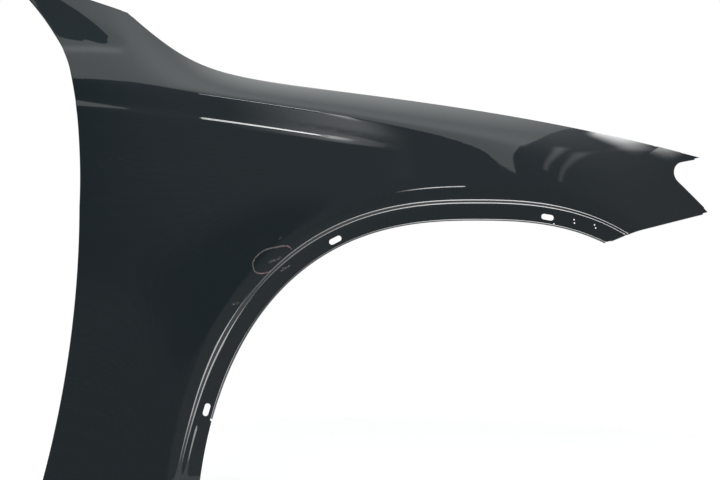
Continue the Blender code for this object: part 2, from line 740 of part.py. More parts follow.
def build_sheet():
    sheet = Sheet()
    lines = outline_lines()
    add_skin(sheet, lines)
    chains = {name: short_of_corners(line) for name, line in lines.items()}
    add_return(sheet, chains["lip"], unit(0, 1, 0), ARCH_LIP_ROLL, ARCH_LIP_DEPTH)
    add_return(sheet, chains["cowl"], unit(*COWL_RETURN_LEAN), EDGE_ROLL, COWL_RETURN)
    add_return(sheet, chains["notch"], unit(NOSE_RETURN_LEAN, 1, 0), EDGE_ROLL, NOTCH_RETURN)
    add_bumper_flange(sheet, chains["bumper"])
    add_door_flange(sheet, chains["door"])
    add_sill_flange(sheet, chains["sill"])
    add_rail_flange(sheet, chains["hood"])
    add_hood_returns(sheet, chains["hood"])
    return sheet


def pad_mount(index):
    """The point beside a pad's bolt hole, on the face that lies on the wing rail."""
    place = np.array(((pad_centres()[index], PAD_HOLE_INBOARD + MOUNT_BESIDE_HOLE),))
    x, y, z = rail_point(place)[0]
    return Vector((x, y, z - SHEET_THICKNESS))


def make_paint():
    paint = bpy.data.materials.new("dark_blue_paint")
    paint.use_nodes = True
    shader = paint.node_tree.nodes["Principled BSDF"]
    shader.inputs["Base Color"].default_value = PAINT_COLOUR
    shader.inputs["Roughness"].default_value = PAINT_ROUGHNESS
    shader.inputs["Metallic"].default_value = PAINT_METALLIC
    return paint


def make_fender():
    sheet = build_sheet()
    mesh = bpy.data.meshes.new("fender_panel")
    mesh.from_pydata(sheet.points, [], sheet.faces)
    solid = bmesh.new()
    solid.from_mesh(mesh)
    bmesh.ops.remove_doubles(solid, verts=solid.verts, dist=SAME_POINT)
    bmesh.ops.recalc_face_normals(solid, faces=solid.faces)
    if sum(face.normal.y * face.calc_area() for face in solid.faces) > 0:
        bmesh.ops.reverse_faces(solid, faces=solid.faces)
    solid.to_mesh(mesh)
    solid.free()
    mesh.shade_smooth()
    mesh.set_sharp_from_angle(angle=math.radians(35))
    mesh.materials.append(make_paint())
    fender = bpy.data.objects.new("fender_panel", mesh)
    fender.location = -pad_mount(ORIGIN_PAD)
    bpy.context.collection.objects.link(fender)
    thicken = fender.modifiers.new("sheet thickness", "SOLIDIFY")
    thicken.thickness = SHEET_THICKNESS
    thicken.offset = -1
    thicken.use_even_offset = True
    thicken.use_quality_normals = True
    return fender


clear_scene()
make_fender()
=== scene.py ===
# %% [markdown]
# # A pressed car fender in dark gloss paint
#
# The object is the right-hand front fender of a family car: one sheet of steel, drawn in a press,
# trimmed, and folded along its edges into flanges for bolts and clips. Its paint is so dark and so
# glossy that nearly all that the eye reads is reflection, so this lesson spends its effort on two
# things: a surface whose direction is exact at every point, and a studio worth reflecting.
#
# Lengths are in metres. The layout's zero is the wheel centre, x points to the front of the car,
# y to its middle and z up.

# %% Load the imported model
import math

import bmesh
import bpy
import numpy as np
from mathutils import Matrix, Vector
from mathutils.geometry import delaunay_2d_cdt
from mathutils.kdtree import KDTree


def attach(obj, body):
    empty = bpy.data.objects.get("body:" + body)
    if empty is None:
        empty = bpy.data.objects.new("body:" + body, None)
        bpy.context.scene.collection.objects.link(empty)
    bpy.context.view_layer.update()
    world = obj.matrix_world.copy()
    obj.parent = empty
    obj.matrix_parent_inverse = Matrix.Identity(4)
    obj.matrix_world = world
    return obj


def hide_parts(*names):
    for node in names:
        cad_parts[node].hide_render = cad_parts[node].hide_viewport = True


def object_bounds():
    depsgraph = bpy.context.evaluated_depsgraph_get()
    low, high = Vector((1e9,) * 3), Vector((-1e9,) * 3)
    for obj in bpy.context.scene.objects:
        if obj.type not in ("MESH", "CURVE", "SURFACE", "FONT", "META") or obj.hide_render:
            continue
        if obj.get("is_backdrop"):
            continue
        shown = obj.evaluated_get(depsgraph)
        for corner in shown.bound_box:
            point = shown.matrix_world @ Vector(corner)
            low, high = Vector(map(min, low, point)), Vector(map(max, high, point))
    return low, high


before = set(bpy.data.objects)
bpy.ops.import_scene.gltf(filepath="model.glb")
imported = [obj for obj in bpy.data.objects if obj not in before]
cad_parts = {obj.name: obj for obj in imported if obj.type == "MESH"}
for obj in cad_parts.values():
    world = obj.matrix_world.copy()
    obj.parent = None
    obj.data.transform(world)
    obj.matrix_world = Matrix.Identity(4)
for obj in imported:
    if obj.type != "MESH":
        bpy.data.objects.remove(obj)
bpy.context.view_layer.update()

print("nodes in the frame:", sorted(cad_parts))

# %% [markdown]
# ## The rule of the surface
#
# A press tool is designed as a height over a flat layout: at each place (x, z) the sheet stands at
# one depth y. Five forms add up to that depth: the crowned side, the flare and the stepped seat
# round the wheel arch, the narrow ledge of the character line, the deck above the shoulder crease,
# and the dish beside the windscreen pillar.
#
# The sizes of those forms are kept in one table. They go into the node tree as named inputs, and
# the same functions read them as plain numbers.

# %% Sizes of the pressed forms
SHEET = 0.0008
SIZES = {
    "Arch centre x": 0.0116, "Arch foot z": -0.2000, "Arch half width": 0.4570,
    "Arch height": 0.6213, "Arch bluntness": 2.53,
    "Seat width": 0.02875, "Seat depth": 0.0040, "Seat spread": 0.055, "Seat spread below": 0.100,
    "Step run": 0.0035, "Step fillet": 0.0015,
    "Foot step": 0.0012, "Foot step inset": 0.010, "Foot end z": 0.091,
    "Flare out": 0.012, "Flare start": 0.056, "Flare width": 0.040, "Flare lip radius": 0.008,
    "Flare fade radius": 0.060,
    "Widest z": 0.380, "Side radius": 4.0,
    "Nose slope": 0.70, "Nose start": 0.170, "Nose blend": 0.150,
    "Shoulder z": 0.5572, "Shoulder fall": 0.1845, "Shoulder bow": 8.532,
    "Crease radius": 0.003, "Crease fade x": 0.060, "Crease fade rate": 0.35,
    "Crease fade blend": 0.100,
    "Hood z": 0.6049, "Hood fall": 0.1399, "Hood bow": 4.936, "Hood inboard": 0.128,
    "Hood taper": 0.35, "Hood taper x": 0.140, "Hood taper blend": 0.160, "Deck roll": 0.42,
    "Cowl rise": 1.00, "Cowl rise x": -0.4669, "Cowl rise blend": 0.0928,
    "Ledge drop": 0.0435, "Ledge step": 0.0032, "Ledge run": 0.0050, "Ledge fillet": 0.0030,
    "Ledge end x": -0.150, "Ledge fade": 0.070,
    "Dish depth": 0.009, "Dish tip x": -0.5575, "Dish low z": 0.6945, "Dish low rise": -0.010,
    "Dish tip height": 0.0235, "Dish top rise": 0.56, "Dish wall": 0.011, "Dish run out": 0.030,
    "Dish fillet": 0.005,
}
print(len(SIZES), "sizes shape the sheet")

# %% [markdown]
# ## Drawing a node tree by doing sums
#
# The rule is needed twice: with numbers, for the trimmed outline, and as Math nodes, for the sheet.
# Written twice it would soon disagree with itself. A `Wire` is a node socket that understands
# Python's own signs: adding two of them places an Add node and gives back its output. So one
# function, called with numbers, gives numbers, and called with wires, draws its nodes.

# %% Placing a node
def add_node(tree, kind, values=(), **options):
    """A new node with its options set. Its inputs take wires, sockets or plain values."""
    node = tree.nodes.new(kind)
    count = len(tree.nodes)
    node.location = (170 * (count // 14), -150 * (count % 14))
    for label, option in options.items():
        setattr(node, label, option)
    for slot, value in values.items() if isinstance(values, dict) else enumerate(values):
        value = value.socket if isinstance(value, Wire) else value
        if isinstance(value, bpy.types.NodeSocket):
            tree.links.new(value, node.inputs[slot])
        else:
            node.inputs[slot].default_value = value
    return node


# %% A socket that does sums
class Wire:
    """A float socket in a node tree. Each sum done with it adds one Math node."""

    __array_ufunc__ = None

    def __init__(self, tree, socket):
        self.tree = tree
        self.socket = socket

    def math(self, operation, *others, turned=False):
        values = [self, *others]
        values = values[::-1] if turned else values
        node = add_node(self.tree, "ShaderNodeMath", values, operation=operation)
        return Wire(self.tree, node.outputs[0])

    def __add__(self, other): return self.math("ADD", other)
    def __radd__(self, other): return self.math("ADD", other)
    def __sub__(self, other): return self.math("SUBTRACT", other)
    def __rsub__(self, other): return self.math("SUBTRACT", other, turned=True)
    def __mul__(self, other): return self.math("MULTIPLY", other)
    def __rmul__(self, other): return self.math("MULTIPLY", other)
    def __truediv__(self, other): return self.math("DIVIDE", other)
    def __rtruediv__(self, other): return self.math("DIVIDE", other, turned=True)
    def __pow__(self, other): return self.math("POWER", other)
    def __abs__(self): return self.math("ABSOLUTE")


def root(value):
    return value.math("SQRT") if isinstance(value, Wire) else np.sqrt(value)


def below(value, limit):
    """1 where the value is under the limit, and 0 elsewhere."""
    return value.math("LESS_THAN", limit) if isinstance(value, Wire) else (value < limit) * 1.0


def step_up(wire, start, end):
    """0 before the start, 1 after the end, and smooth between."""
    values = {"Value": wire, "From Min": start, "From Max": end}
    node = add_node(wire.tree, "ShaderNodeMapRange", values, interpolation_type="SMOOTHSTEP")
    return Wire(wire.tree, node.outputs["Result"])


def split(tree, socket):
    return [Wire(tree, o) for o in add_node(tree, "ShaderNodeSeparateXYZ", [socket]).outputs]


def joined(tree, *wires):
    return add_node(tree, "ShaderNodeCombineXYZ", wires).outputs[0]


print("a Wire stands for a float socket")


# %% The rule, form by form
def bend(distance, radius):
    """A ramp of slope one that starts at zero distance and is rounded over the radius."""
    return (distance + root(distance * distance + radius * radius)) / 2


def ramp(distance, width, radius):
    """Rises from 0 to 1 across the width, with both ends rounded."""
    return (bend(distance, radius) - bend(distance - width, radius)) / width


def arch_distance(x, z, s):
    """Distance outside the wheel arch edge, which is a superellipse on its foot line."""
    blunt = s["Arch bluntness"]
    across = abs(x - s["Arch centre x"]) / s["Arch half width"]
    up = abs(z - s["Arch foot z"]) / s["Arch height"]
    level = (across**blunt + up**blunt) ** (1 / blunt)
    slope_x = across ** (blunt - 1) / s["Arch half width"]
    slope_z = up ** (blunt - 1) / s["Arch height"]
    slope = root(slope_x * slope_x + slope_z * slope_z) / level ** (blunt - 1)
    return (level - 1) / slope


def seat_width(z, s):
    return s["Seat width"] + s["Seat spread"] * bend(s["Seat spread below"] - z, s["Seat width"])


def shoulder_z(x, s):
    return s["Shoulder z"] - s["Shoulder fall"] * x - x * x / (2 * s["Shoulder bow"])


def hood_z(x, s):
    climb = s["Cowl rise"] * bend(s["Cowl rise x"] - x, s["Cowl rise blend"])
    return s["Hood z"] - s["Hood fall"] * x - x * x / (2 * s["Hood bow"]) + climb


def hood_y(x, s):
    return s["Hood inboard"] + s["Hood taper"] * bend(x - s["Hood taper x"], s["Hood taper blend"])


def side_depth(x, z, s):
    """The crowned side, narrowing to the nose, flared and stepped round the arch."""
    away = arch_distance(x, z, s)
    rise = z - s["Widest z"]
    crown = rise * rise / (2 * s["Side radius"])
    nose = s["Nose slope"] * bend(x - s["Nose start"], s["Nose blend"])
    start = away - s["Flare start"]
    fall = bend(start, s["Flare lip radius"])
    fall = fall - bend(start - s["Flare width"], s["Flare fade radius"])
    flare = s["Flare out"] * fall / s["Flare width"]
    step = away - seat_width(z, s)
    seat = s["Seat depth"] * (1 - ramp(step, s["Step run"], s["Step fillet"]))
    foot = 1 - ramp(z - s["Foot end z"], s["Foot step inset"], s["Step fillet"])
    inner = 1 - ramp(step + s["Foot step inset"], s["Step fillet"], s["Step fillet"])
    foot_step = s["Foot step"] * foot * inner * below(x, s["Arch centre x"])
    return crown + nose + flare + seat + foot_step


def ledge_depth(x, z, s):
    """The character line: a narrow ledge that faces up and fades out over the front wheel."""
    ledge = ramp(z - shoulder_z(x, s) + s["Ledge drop"], s["Ledge run"], s["Ledge fillet"])
    present = 1 - ramp(x - s["Ledge end x"] + s["Ledge fade"], s["Ledge fade"], s["Ledge fade"] / 3)
    return s["Ledge step"] * ledge * present


def dish_depth(x, z, s):
    """A dish, steep along its lower side and its tip, and running out flush along its top."""
    behind = s["Dish tip x"] - x
    above = z - s["Dish low z"] - s["Dish low rise"] * behind
    lean = s["Dish top rise"]
    under = s["Dish low z"] + s["Dish tip height"] + lean * behind - z
    under = under / root(1 + lean * lean)
    wall = ramp(above, s["Dish wall"], s["Dish fillet"])
    wall = wall * ramp(behind, s["Dish wall"], s["Dish fillet"])
    return s["Dish depth"] * wall * ramp(under, s["Dish run out"], s["Dish fillet"])


def skin_depth(x, z, s):
    """Depth of the drawn skin: the side below the crease, rolled in to the hood edge above it."""
    side = side_depth(x, z, s) + ledge_depth(x, z, s)
    crease = shoulder_z(x, s)
    fade = s["Crease fade rate"] * bend(x - s["Crease fade x"], s["Crease fade blend"])
    radius = s["Crease radius"] + fade
    share = bend(z - crease, radius) / bend(hood_z(x, s) - crease, radius)
    rise = (1 - s["Deck roll"]) * share + s["Deck roll"] * share * share
    return side + (hood_y(x, s) - side) * rise + dish_depth(x, z, s)


S = SIZES
print("depth over the front wheel:", round(float(skin_depth(0.0, 0.47, S)) * 1000, 2), "mm")

# %% [markdown]
# ## Lacquer, primer and wax
#
# The real panel is primed all over by dipping, and its outer face then gets a dark blue colour coat
# under clear lacquer. Seen close, lacquer is never quite flat: it has a long soft ripple, called
# orange peel, some dust, and hair-fine marks from wiping. The inner face keeps its satin primer. A
# ring of wax crayon marks a place on the panel, with a few pale rubs near it.
#
# Ripple, specks, patches and wiping marks appear on more than one of these finishes. Each is built
# once, as a node group with named inputs, and every finish places it with its own values. The
# groups read object coordinates in metres, so the detail keeps its real scale.

# %% Shared effects as node groups
def float_inputs(tree, values):
    for name, value in values.items():
        socket = tree.interface.new_socket(name, in_out="INPUT", socket_type="NodeSocketFloat")
        socket.default_value = value


def effect(name, values, output):
    """A new group that reads a place and a few numbers, and puts out one value."""
    group = bpy.data.node_groups.new(name, "ShaderNodeTree")
    group.interface.new_socket("Place", in_out="INPUT", socket_type="NodeSocketVector")
    float_inputs(group, values)
    group.interface.new_socket(output, in_out="OUTPUT", socket_type="NodeSocketFloat")
    given = group.nodes.new("NodeGroupInput").outputs
    return group, given, group.nodes.new("NodeGroupOutput").inputs


def noise(tree, place, scale, detail):
    values = {"Vector": place, "Scale": scale, "Detail": detail}
    return add_node(tree, "ShaderNodeTexNoise", values).outputs[0]


ripple, given, result = effect("surface ripple", {"Scale": 300.0}, "Height")
ripple.links.new(noise(ripple, given["Place"], given["Scale"], 2.0), result["Height"])

patches, given, result = effect("soft patches", {"Scale": 12.0, "Low": 0.4, "High": 0.7}, "Mask")
window = {"Value": noise(patches, given["Place"], given["Scale"], 5.0),
          "From Min": given["Low"], "From Max": given["High"]}
patches.links.new(add_node(patches, "ShaderNodeMapRange", window).outputs["Result"], result["Mask"])

specks, given, result = effect("fine specks", {"Scale": 900.0, "Size": 0.3, "Share": 0.3}, "Mask")
cells = add_node(specks, "ShaderNodeTexVoronoi",
                 {"Vector": given["Place"], "Scale": given["Scale"]})
small = Wire(specks, cells.outputs["Distance"]).math("LESS_THAN", given["Size"])
chosen = Wire(specks, cells.outputs["Color"]).math("LESS_THAN", given["Share"])
specks.links.new((small * chosen).socket, result["Mask"])

wiping, given, result = effect("wiping marks", {"Scale": 5.0, "Share": 0.36}, "Mask")
stretch = add_node(wiping, "ShaderNodeMapping", {
    "Vector": given["Place"], "Rotation": (0.0, 0.35, 0.0), "Scale": (1.0, 1.0, 90.0)})
marks = Wire(wiping, noise(wiping, stretch.outputs[0], given["Scale"], 3.0))
wiping.links.new(marks.math("LESS_THAN", given["Share"]).socket, result["Mask"])
print("effects:", [group.name for group in (ripple, patches, specks, wiping)])


# %% Helpers for a finish
MIX_FACTOR, MIX_FIRST, MIX_SECOND, MIX_RESULT = 0, 6, 7, 2


class Finish:
    """A material under construction: its tree, its shader, and its place in object coordinates."""

    def __init__(self, name, **constants):
        self.material = bpy.data.materials.new(name)
        self.material.use_nodes = True
        self.tree = self.material.node_tree
        self.shader = self.tree.nodes["Principled BSDF"]
        self.place = add_node(self.tree, "ShaderNodeTexCoord").outputs["Object"]
        for label, value in constants.items():
            self.shader.inputs[label.replace("_", " ")].default_value = value

    def effect(self, group, **values):
        """Places a shared effect with this finish's own values."""
        values["Place"] = self.place
        node = add_node(self.tree, "ShaderNodeGroup", values, node_tree=group)
        return Wire(self.tree, node.outputs[0])

    def mix(self, mask, first, second):
        """A colour between two, by a mask. Each is a colour or a socket."""
        first, second = ((*c, 1.0) if isinstance(c, tuple) else c for c in (first, second))
        values = {MIX_FACTOR: mask, MIX_FIRST: first, MIX_SECOND: second}
        return add_node(self.tree, "ShaderNodeMix", values, data_type="RGBA").outputs[MIX_RESULT]

    def set(self, label, value):
        value = value.socket if isinstance(value, Wire) else value
        self.tree.links.new(value, self.shader.inputs[label])

    def bump(self, height, depth):
        """Turns a height from 0 to 1 into relief of the given depth in metres."""
        values = {"Strength": 1.0, "Distance": depth, "Height": height}
        self.set("Normal", add_node(self.tree, "ShaderNodeBump", values).outputs["Normal"])


print("a Finish holds one material while its nodes are placed")

# %% Dark blue lacquered paint for the outer face
paint = Finish("dark_blue_gloss_lacquer", IOR=1.5)
flakes = paint.effect(specks, Scale=2600.0, Size=0.42, Share=0.55)
cloud = paint.effect(patches, Scale=3.0, Low=0.3, High=0.75)
dust = paint.effect(specks, Scale=420.0, Size=0.16, Share=0.30)
dust = dust * paint.effect(patches, Scale=9.0, Low=0.45, High=0.75)
hairs = paint.effect(wiping, Scale=5.5, Share=0.30)
hairs = hairs * paint.effect(patches, Scale=14.0, Low=0.5, High=0.7)
colour = paint.mix(cloud, (0.0052, 0.0112, 0.0142), (0.0078, 0.0128, 0.0172))
colour = paint.mix(flakes * 0.35, colour, (0.012, 0.026, 0.040))
colour = paint.mix(dust * 0.6, colour, (0.16, 0.16, 0.15))
paint.set("Base Color", colour)
paint.set("Roughness", 0.035 + hairs * 0.10 + dust * 0.30)
paint.bump(paint.effect(ripple, Scale=240.0) + hairs * -0.02, 0.000010)
print("outer finish:", paint.material.name, "with", len(paint.tree.nodes), "nodes")

# %% Satin primer for the inner face
primer = Finish("satin_primer")
worn = primer.effect(patches, Scale=7.0, Low=0.35, High=0.75)
grit = primer.effect(specks, Scale=700.0, Size=0.22, Share=0.25)
rubbed = primer.effect(wiping, Scale=4.0, Share=0.34)
colour = primer.mix(worn, (0.026, 0.028, 0.031), (0.044, 0.047, 0.051))
colour = primer.mix(grit * 0.4 + rubbed * 0.15, colour, (0.10, 0.10, 0.095))
primer.set("Base Color", colour)
primer.set("Roughness", 0.42 + worn * 0.16 + grit * 0.10)
primer.bump(primer.effect(ripple, Scale=700.0), 0.000060)
print("inner finish:", primer.material.name, "with", len(primer.tree.nodes), "nodes")


# %% Crayon wax, and the pale dust of a rub
def waxy(name, pale, warm, rough, ends=False):
    """A matt crumbly finish that varies between two tones. Crayon is warmer at the ring's ends."""
    wax = Finish(name)
    tone = wax.effect(patches, Scale=28.0, Low=0.42, High=0.60)
    if ends:
        x, _, z = split(wax.tree, wax.place)
        right = step_up(x, -0.162, -0.144)
        low = 1 - step_up(z, -0.274, -0.264)
        tone = (right.math("MAXIMUM", low) * 0.8 + tone * 0.3).math("MINIMUM", 1.0)
    crumbs = wax.effect(specks, Scale=2200.0, Size=0.45, Share=0.45)
    wax.set("Base Color", wax.mix(crumbs * 0.4, wax.mix(tone, pale, warm), (0.10, 0.08, 0.08)))
    wax.set("Roughness", rough + crumbs * 0.2)
    wax.bump(wax.effect(ripple, Scale=1800.0), 0.00012)
    return wax.material


crayon = waxy("pink_brown_crayon", (0.150, 0.136, 0.124), (0.290, 0.165, 0.185), 0.55, ends=True)
rub = waxy("pale_grey_rub", (0.180, 0.180, 0.176), (0.215, 0.215, 0.210), 0.70)
print("marks:", crayon.name, "and", rub.name)

# %% [markdown]
# ## The blank
#
# The real panel starts as a flat blank whose outline is trimmed to shape. Here the blank is a flat
# mesh in the layout plane. Its points are denser where the form is tight: rows run along the seat's
# step, the flare, the crease and the ledge, and an even spread fills the rest. The holes are left
# open from the start, so their rims are crisp and no cutting is needed later.

# %% Lines with even points, smooth curves and rounded corners
EDGE_STEP = 0.0045
RELIEF = 0.010


def lengths_along(line):
    return np.concatenate(([0.0], np.cumsum(np.linalg.norm(np.diff(line, axis=0), axis=1))))


def even(line, step=EDGE_STEP, gap=RELIEF, stops=()):
    """The same line with even points, one at the gap from each end and one at each stop."""
    along = lengths_along(line)
    total = along[-1]
    knots = [gap] + sorted(s for s in stops if gap < s < total - gap) + [total - gap]
    where = [0.0] if gap else []
    for start, end in zip(knots, knots[1:]):
        where.extend(np.linspace(start, end, max(1, round((end - start) / step)), endpoint=False))
    where += [knots[-1], total] if gap else [knots[-1]]
    return np.column_stack([np.interp(where, along, line[:, k]) for k in (0, 1)])


def reach_stop(line, axis, value):
    order = np.argsort(line[:, axis])
    return float(np.interp(value, line[order, axis], lengths_along(line)[order]))


def smooth(points, samples=24):
    """A curve through a few points, with tangents from each point's neighbours."""
    points = np.array(points, float)
    steps = np.linalg.norm(np.diff(points, axis=0), axis=1)[:, None]
    chords = np.diff(points, axis=0) / steps
    middle = (chords[:-1] * steps[1:] + chords[1:] * steps[:-1]) / (steps[1:] + steps[:-1])
    tangents = np.vstack((2 * chords[:1] - middle[:1], middle, 2 * chords[-1:] - middle[-1:]))
    t = np.linspace(0, 1, samples, endpoint=False)[:, None]
    spans = []
    for start, end, leave, arrive, size in zip(points, points[1:], tangents, tangents[1:], steps):
        spans.append(start * (1 + 2 * t) * (1 - t) ** 2 + end * t * t * (3 - 2 * t)
                     + size * (leave * t * (1 - t) ** 2 - arrive * t * t * (1 - t)))
    return np.vstack(spans + [points[-1:]])


def filleted(points, radius, samples=14):
    """Two straight lines with their corner rounded to the radius."""
    before, corner, after = np.array(points, float)
    back = (before - corner) / np.linalg.norm(before - corner)
    on = (after - corner) / np.linalg.norm(after - corner)
    half = math.acos(float(back @ on)) / 2
    centre = corner + (back + on) / np.linalg.norm(back + on) * radius / math.sin(half)
    first = corner + back * radius / math.tan(half) - centre
    last = corner + on * radius / math.tan(half) - centre
    sweep = math.pi - 2 * half
    arc = [centre + (first * math.sin((1 - k) * sweep) + last * math.sin(k * sweep))
           / math.sin(sweep) for k in np.linspace(0, 1, samples)]
    return np.array([before, *arc, after])


def cut_run(line, signed):
    """The one stretch of a line where a signed measure is positive, cut exactly at zero."""
    value = signed(line)
    run = []
    for k in range(len(line)):
        if k and (value[k] > 0) != (value[k - 1] > 0):
            share = value[k - 1] / (value[k - 1] - value[k])
            run.append(line[k - 1] + share * (line[k] - line[k - 1]))
        if value[k] > 0:
            run.append(line[k])
    return np.array(run)


print("edge points stand", EDGE_STEP * 1000, "mm apart")


# %% The wheel arch, moved outwards
def arch_line(offset, along_seat=False):
    """The arch edge moved outwards, from its rear foot over the top to its front foot."""
    angle = np.linspace(math.pi, 0, 600)
    power = 2 / S["Arch bluntness"]
    across = np.sign(np.cos(angle)) * np.abs(np.cos(angle)) ** power
    up = np.abs(np.sin(angle)) ** power
    x = S["Arch centre x"] + S["Arch half width"] * across
    z = S["Arch foot z"] + S["Arch height"] * up
    away_x = np.sign(across) * np.abs(across) ** (S["Arch bluntness"] - 1) / S["Arch half width"]
    away_z = up ** (S["Arch bluntness"] - 1) / S["Arch height"]
    size = np.hypot(away_x, away_z)
    for _ in range(4):
        missing = offset + (seat_width(z, S) if along_seat else 0) - arch_distance(x, z, S)
        x, z = x + missing * away_x / size, z + missing * away_z / size
    return np.column_stack((x, z))


def rear_side(points):
    return points[:, 0] < S["Arch centre x"]


print("arch top at z =", round(float(arch_line(0)[:, 1].max()), 4))

# %% Outline of the trimmed skin
SILL_Z = -0.0755
DOOR_X = -0.6231
DOOR_STRAIGHT_Z = 0.4430
DOOR_LOWER_RADIUS = 1.5457
DOOR_UPPER = ((-0.6235, 0.5336), (-0.6312, 0.6139), (-0.6468, 0.6795), (-0.6774, 0.7319))
PILLAR_TIP = (-0.7600, 0.8255)
TIP_RADIUS = 0.008
COWL_X = -0.5660
NOTCH_TOP_X = 0.4095
NOTCH_VERTEX = (0.3318, 0.5180)
NOTCH_RADIUS = 0.0217
NOSE_TIP = (0.4195, 0.4382)
BUMPER_BREAK = (0.2787, 0.4068)
BUMPER_REAR = (0.1900, 0.3739)
BUMPER_RADIUS = 0.200
FOOT_TOP_Z = 0.101
LIP_ROLL = 0.003
LIP_RELIEF = 0.002

bumper_edge = filleted((BUMPER_REAR, BUMPER_BREAK, NOSE_TIP), BUMPER_RADIUS)
foot = cut_run(arch_line(0), lambda p: np.where(
    rear_side(p), np.minimum(p[:, 1] - SILL_Z, FOOT_TOP_Z - p[:, 1]), -1))
lip = cut_run(arch_line(LIP_ROLL), lambda p: np.where(
    rear_side(p), p[:, 1] - FOOT_TOP_Z - LIP_ROLL,
    p[:, 1] - np.interp(p[:, 0], bumper_edge[:, 0], bumper_edge[:, 1])))
bumper = np.vstack((lip[-1:], bumper_edge[bumper_edge[:, 0] > lip[-1, 0] + RELIEF / 2]))
notch_top = (NOTCH_TOP_X, float(hood_z(NOTCH_TOP_X, S)))
notch = filleted((NOSE_TIP, NOTCH_VERTEX, notch_top), NOTCH_RADIUS)
hood_x = np.linspace(NOTCH_TOP_X, COWL_X, 400)
hood = np.column_stack((hood_x, hood_z(hood_x, S)))
door_z = np.linspace(SILL_Z, DOOR_STRAIGHT_Z, 200)
door_bow = (DOOR_STRAIGHT_Z - door_z) ** 2 / (2 * DOOR_LOWER_RADIUS)
door_low = np.column_stack((DOOR_X - door_bow, door_z))
door_high = smooth(((DOOR_X, DOOR_STRAIGHT_Z),) + DOOR_UPPER + (PILLAR_TIP,))
door = np.vstack((door_low[:-1], door_high))[::-1]
tip = filleted((hood[-1], PILLAR_TIP, DOOR_UPPER[-1]), TIP_RADIUS)
door = np.vstack((tip[-2], door[door[:, 1] < tip[-2, 1] - TIP_RADIUS]))
print("the lip runs from", np.round(lip[0], 4), "to", np.round(lip[-1], 4))

# %% The edges, with even points
RAIL_X = (-0.440, 0.325)
PAD_XS = (-0.370, -0.150, 0.070, 0.290)
PAD_HALF = 0.017
PAD_BLEND = 0.012
TAB_HALF = 0.020
rail_stops = [RAIL_X[0] - RELIEF, RAIL_X[0], RAIL_X[1], RAIL_X[1] + RELIEF]
rail_stops += [x + side * reach for x in PAD_XS for side in (-1, 1)
               for reach in (PAD_HALF, PAD_HALF + PAD_BLEND)]
tab_ends = [DOOR_STRAIGHT_Z - TAB_HALF, DOOR_STRAIGHT_Z + TAB_HALF]
EDGES = {
    "sill": even(np.array((door[-1], foot[0]))),
    "foot": even(foot),
    "lip": even(lip, gap=LIP_RELIEF),
    "bumper": even(bumper),
    "notch": even(notch, EDGE_STEP / 2),
    "hood": even(hood, stops=[reach_stop(hood, 0, x) for x in rail_stops]),
    "cowl": even(tip[:2]),
    "tip": tip[1:-1],
    "door": even(door, stops=[reach_stop(door, 1, z) for z in tab_ends]),
}
outline = []
for line in EDGES.values():
    outline += [p for p in line if not outline or np.linalg.norm(p - outline[-1]) > 1e-6]
LOOP = np.array(outline[:-1])
print("outline:", len(LOOP), "points,", round(float(lengths_along(LOOP)[-1]), 3), "m round")

# %% Holes: clip slots in line with the arch, and small pilot holes
SLOT_FROM_EDGE = 0.0125
SLOT_SIZE = (0.021, 0.009)
SLOT_XS = (-0.4222, -0.2185, 0.1235)
PILOT_RADIUS = 0.0014
PILOTS = ((0.1681, 0.4232), (0.1688, 0.4177), (0.2037, 0.4149), (0.2056, 0.4099), (0.1340, 0.4160))


def stadium(centre, along, size, samples=9):
    """A slot's outline with round ends."""
    along = np.array(along, float) / np.linalg.norm(along)
    across = np.array((-along[1], along[0]))
    radius, reach = size[1] / 2, (size[0] - size[1]) / 2
    return np.array([np.array(centre) + side * (along * (reach + radius * math.cos(a))
                                                + across * radius * math.sin(a))
                     for side in (1, -1) for a in np.linspace(-math.pi / 2, math.pi / 2, samples)])


def circle(centre, radius, sides=20):
    angle = np.arange(sides) * 2 * math.pi / sides
    return np.column_stack((centre[0] + radius * np.cos(angle), centre[1] + radius * np.sin(angle)))


slot_line = arch_line(SLOT_FROM_EDGE)
slot_line = slot_line[slot_line[:, 1] > 0]
HOLES = []
for x in SLOT_XS:
    k = int(np.argmin(np.abs(slot_line[:, 0] - x)))
    HOLES.append(stadium(slot_line[k], slot_line[k + 1] - slot_line[k - 1], SLOT_SIZE))
HOLES += [circle(place, PILOT_RADIUS, 10) for place in PILOTS]
print(len(HOLES), "holes in the skin")


# %% Which points lie where
def inside(points, loop):
    """Which points lie inside a closed loop, by counting the edges to their right."""
    ax, az = loop[:, 0], loop[:, 1]
    bx, bz = np.roll(ax, -1), np.roll(az, -1)
    drop = np.where(bz == az, 1.0, bz - az)
    answer = []
    for part in np.array_split(points, max(1, len(points) // 4000)):
        x, z = part[:, 0:1], part[:, 1:2]
        crossing = ((az > z) != (bz > z)) & (x < ax + (z - az) * (bx - ax) / drop)
        answer.append(crossing.sum(axis=1) % 2 == 1)
    return np.concatenate(answer)


def tree_of(points):
    """A search tree of points, which may be flat or in space."""
    kd = KDTree(len(points))
    for k, p in enumerate(points):
        kd.insert((*p, 0.0)[:3], k)
    kd.balance()
    return kd


def gaps(points, kd):
    return np.array([kd.find((p[0], p[1], 0))[2] for p in points])


def spread(step, taken, keep):
    """Staggered points that fill the outline where keep says so, clear of the points taken."""
    low, high = LOOP.min(axis=0), LOOP.max(axis=0)
    rows = []
    for k, z in enumerate(np.arange(low[1], high[1], step * math.sqrt(3) / 2)):
        x = np.arange(low[0] + (k % 2) * step / 2, high[0], step)
        rows.append(np.column_stack((x, np.full(len(x), z))))
    points = np.vstack(rows)
    points = points[keep(points)]
    points = points[inside(points, LOOP)]
    return points[gaps(points, tree_of(taken)) > 0.55 * step]


def dish_area(points):
    return (points[:, 0] < COWL_X + 0.03) & (points[:, 1] > 0.66)


